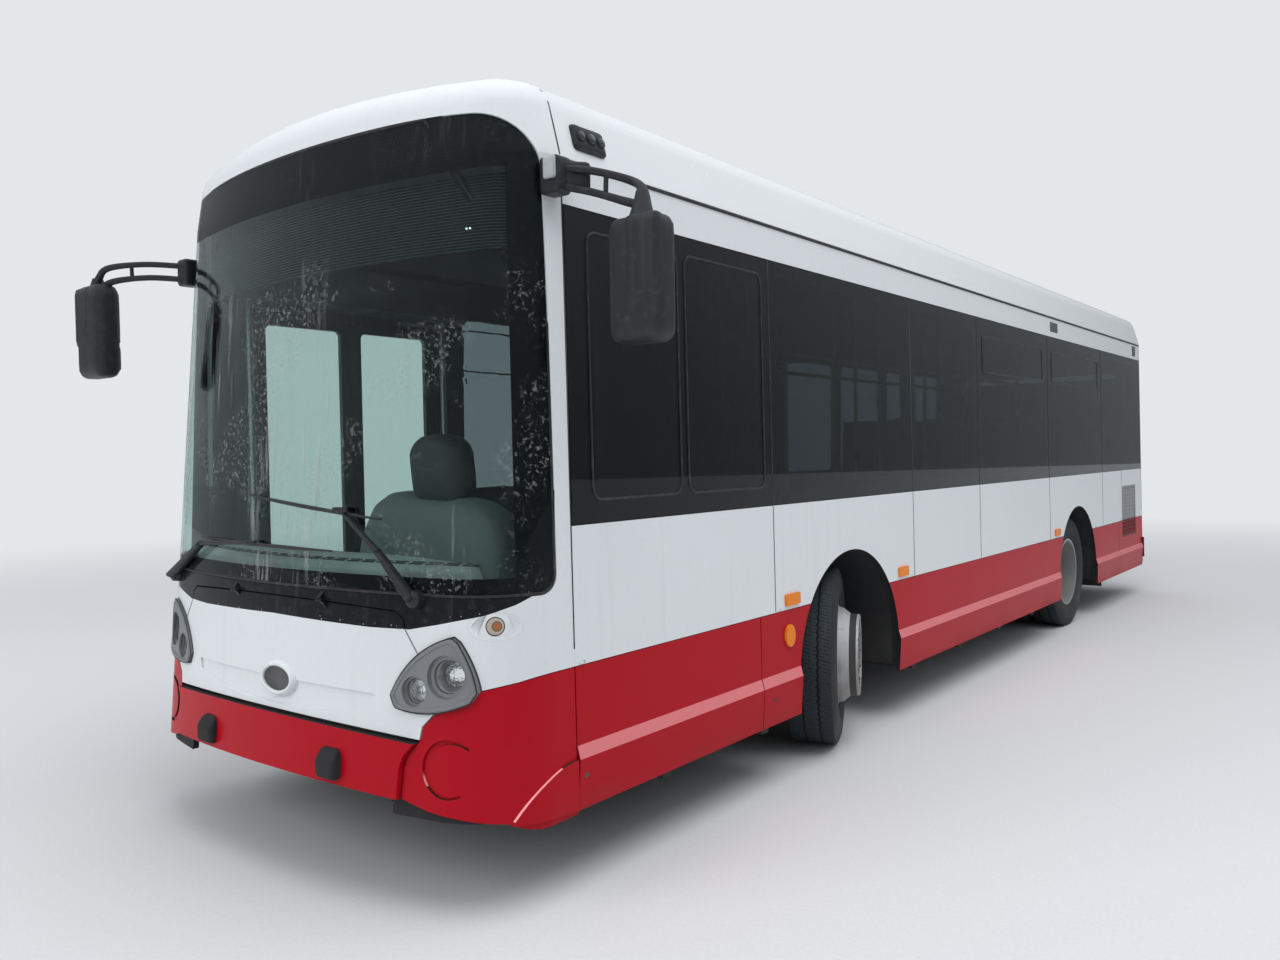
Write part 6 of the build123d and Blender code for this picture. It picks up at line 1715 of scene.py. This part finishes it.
GRILLE_RED_BELOW = 0.8465
grille_grey = finish(
    "side_grille_paint", (0.29, 0.295, 0.30), (0.20, 0.19, 0.18), 0.45, reach=0.8, streaks=0.2,
    mottle=0.4, grain_size=400.0, grain=0.4,
    zones=((below("Z", GRILLE_RED_BELOW), (0.17, 0.010, 0.016), 0.5),),
)
dress(grille_grey, "side_grille")
FIN_COUNT, FIN_ROWS, FIN_DEEP = 40, 10, 0.006
FIN_Y, FIN_Z, GRILLE_FRAME_Y = (4.018, 4.602), (0.688, 1.182), 4.011
fin_points = []
for height in spread(*FIN_Z, FIN_ROWS):
    frame_face, _ = from_side("side_grille", 1, GRILLE_FRAME_Y, height)
    for step, along in enumerate(spread(*FIN_Y, 2 * FIN_COUNT)):
        fin_points.append((frame_face.x - 0.003 - FIN_DEEP * (step % 2), along, height))
fins = (fin_points, sheet_faces(FIN_ROWS + 1, 2 * FIN_COUNT + 1))
new_piece("side_grille_fins", [fins], grille_grey, "grey_plastic", smooth=False)


# Small fittings: a camera unit on the roof's shoulder, louvred vents in the cornice, clips at
# the skirt joints, the plain oval plate on the front flap and rounded rubber guards.
def against(shape, place, normal, along=(0, 1, 0)):
    """A shape moved so that its Z looks along the normal and its X along the bus."""
    z_way = Vector(normal).normalized()
    x_way = (Vector(along) - z_way * Vector(along).dot(z_way)).normalized()
    y_way = z_way.cross(x_way)
    move = Matrix.Translation(place) @ Matrix((x_way, y_way, z_way)).transposed().to_4x4()
    return moved(shape, move)


def dome(radius, rise, sides=24, rings=6):
    points = []
    for lean in spread(0, math.pi / 2, rings):
        wide = radius * math.cos(lean)
        middle = Vector((0, 0, rise * math.sin(lean)))
        points += hoop(middle, Vector((wide, 0, 0)), Vector((0, wide, 0)), sides)
    return points, hoop_faces(rings + 1, sides)


light_parts = []
for x in (0.872, 0.886):
    place, normal = from_end("destination_display", -1, x, 2.462)
    light_parts.append(against(dome(0.004, 0.002, sides=12, rings=3), place, normal, (1, 0, 0)))
new_piece("display_pilot_lights", light_parts, display_light, "lamp_glass")

place, normal = from_side("roof", 1, -4.330, 2.820)
camera_parts = [against(rounded_box((0.185, 0.105, 0.036), 0.017, crown=0.004), place, normal)]
eye_parts = []
for shift, size in ((-0.058, 0.024), (0.0, 0.027), (0.056, 0.024)):
    spot = place + Vector((0, shift, 0)) + normal * 0.016
    tube = pipe(((0, 0, 0), (0, 0, 0.010)), (size, size * 0.92), sides=20)
    camera_parts.append(against(tube, spot, normal))
    eye_parts.append(against(dome(size * 0.72, 0.008), spot + normal * 0.009, normal))
new_piece("shoulder_camera", camera_parts, mirror_black, "black_plastic")
new_piece("camera_lenses", eye_parts, dial_face, "black_plastic")

# Vents: place along the bus, height, length and how tall; then skirt clips and screws by side
VENTS, VENT_SLATS = ((1.690, 2.635, 0.215, 0.080), (4.650, 2.635, 0.135, 0.105)), 5
CLIPS = {1: (-4.470, -3.010, -1.400, 1.480, 2.960, 3.960), -1: (-1.400, 2.960, 3.960)}
SCREWS = {1: (-4.470, -3.080, 1.300), -1: (-1.360, 1.300)}
CLIP_Z, SCREW_Z = 0.862, 0.430
plate_parts, slat_parts, clip_parts, hole_parts = [], [], [], []
for side, wall in SIDES:
    for y, z, length, tall in VENTS:
        plate = rounded_box((length, tall, 0.005), 0.002, cuts=3)
        plate_parts.append(against(plate, *from_side(wall, side, y, z)))
        for row in range(VENT_SLATS):
            slat = rounded_box((length * 0.94, 0.006, 0.010), 0.002, cuts=3)
            height = z + tall * (row - 2) / 5.4
            slat_parts.append(against(slat, *from_side(wall, side, y, height)))
    for y in CLIPS[side]:
        place, normal = from_side(wall, side, y, CLIP_Z)
        clip = rounded_box((0.030, 0.010, 0.008), 0.003, cuts=3)
        clip_parts.append(against(clip, place - Vector((0, 0, 0.010)), normal))
    for y in SCREWS[side]:
        met = from_side("side_skirts", side, y, SCREW_Z)
        if met:
            hole_parts.append(against(dome(0.011, 0.0012, sides=18, rings=2), *met))
new_piece("cornice_vent_plates", plate_parts, dash_black, "black_plastic")
new_piece("cornice_vent_slats", slat_parts, lamp_black, "grey_plastic")
new_piece("skirt_clips", clip_parts, white_wall, "white_paint")
new_piece("skirt_screw_wells", hole_parts, dash_black, "black_plastic")

PLATE_X, PLATE_Z, PLATE_HALF_W, PLATE_HALF_H, PLATE_SIDES = 0.064, 0.764, 0.090, 0.048, 48
# Collar round the oval plate: how much wider than the plate, and height off the flap
COLLAR = (
    (0.028, -0.016), (0.020, 0.006), (0.013, 0.015), (0.006, 0.018), (0.000, 0.015),
    (0.000, 0.004),
)
place, normal = from_end("front_flap", -1, PLATE_X, PLATE_Z)
collar_points = []
for wider, high in COLLAR:
    wide, tall = Vector((PLATE_HALF_W + wider, 0, 0)), Vector((0, PLATE_HALF_H + wider, 0))
    collar_points += hoop(Vector((0, 0, high)), wide, tall, PLATE_SIDES)
collar = (collar_points, hoop_faces(len(COLLAR), PLATE_SIDES))
oval, oval_faces = dome(1.0, 0.007, sides=PLATE_SIDES)
oval = [(x * PLATE_HALF_W, y * PLATE_HALF_H, z + 0.006) for x, y, z in oval]
white_trim = finish(
    "white_trim_paint", WHITE, ROAD_FILM, 0.24, reach=0.15, streaks=0.04, mottle=0.08,
    grain_size=420.0, grain=0.12, depth=0.0008, coat=0.03, shine=0.14,
)
plate_grey = finish(
    "plain_oval_plate", (0.27, 0.26, 0.255), (0.12, 0.12, 0.12), 0.28, reach=0.0, streaks=0.0,
    mottle=0.3, grain_size=500.0, grain=0.3, metal=0.9,
)
oval_plate = against((oval, oval_faces), place, normal, (1, 0, 0))
new_piece("flap_oval_plate", [oval_plate], plate_grey, "silver_plastic", body="front_flap")
oval_collar = against(collar, place, normal, (1, 0, 0))
new_piece("flap_oval_collar", [oval_collar], white_trim, "white_paint", body="front_flap")

guard_parts = []
for hand in (-1, 1):
    points, faces = rounded_box((0.112, 0.094, 0.112), 0.018, cuts=9)
    eased = []
    for point in points:
        share = max(0.0, (point.z - 0.012) / 0.044)
        front = max(0.0, -point.y / 0.047)
        eased.append((point.x * (1 - 0.12 * share), point.y + 0.030 * share * front, point.z))
    guard_parts.append(placed((eased, faces), (hand * 0.423, -5.049, 0.494)))
guards = new_piece("rubber_guards", guard_parts, guard_rubber, "black_rubber")
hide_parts("bumper_guards")

# Rear number plate, left bare, in its pressed holder
place, normal = from_end("rear_bumper", 1, 0.0, 0.520)
holder = against(rounded_box((0.540, 0.130, 0.010), 0.004), place, normal, (1, 0, 0))
new_piece("bare_plate_holder", [holder], dash_black, "black_plastic")
bare_plate = finish(
    "bare_plate", (0.62, 0.63, 0.62), (0.30, 0.28, 0.25), 0.35, streaks=0.2, mottle=0.3,
)
rear_plate = rounded_box((0.520, 0.110, 0.004), 0.0018, cuts=4)
rear_plate = against(rear_plate, place + normal * 0.0055, normal, (1, 0, 0))
new_piece("bare_rear_plate", [rear_plate], bare_plate, "white_paint")
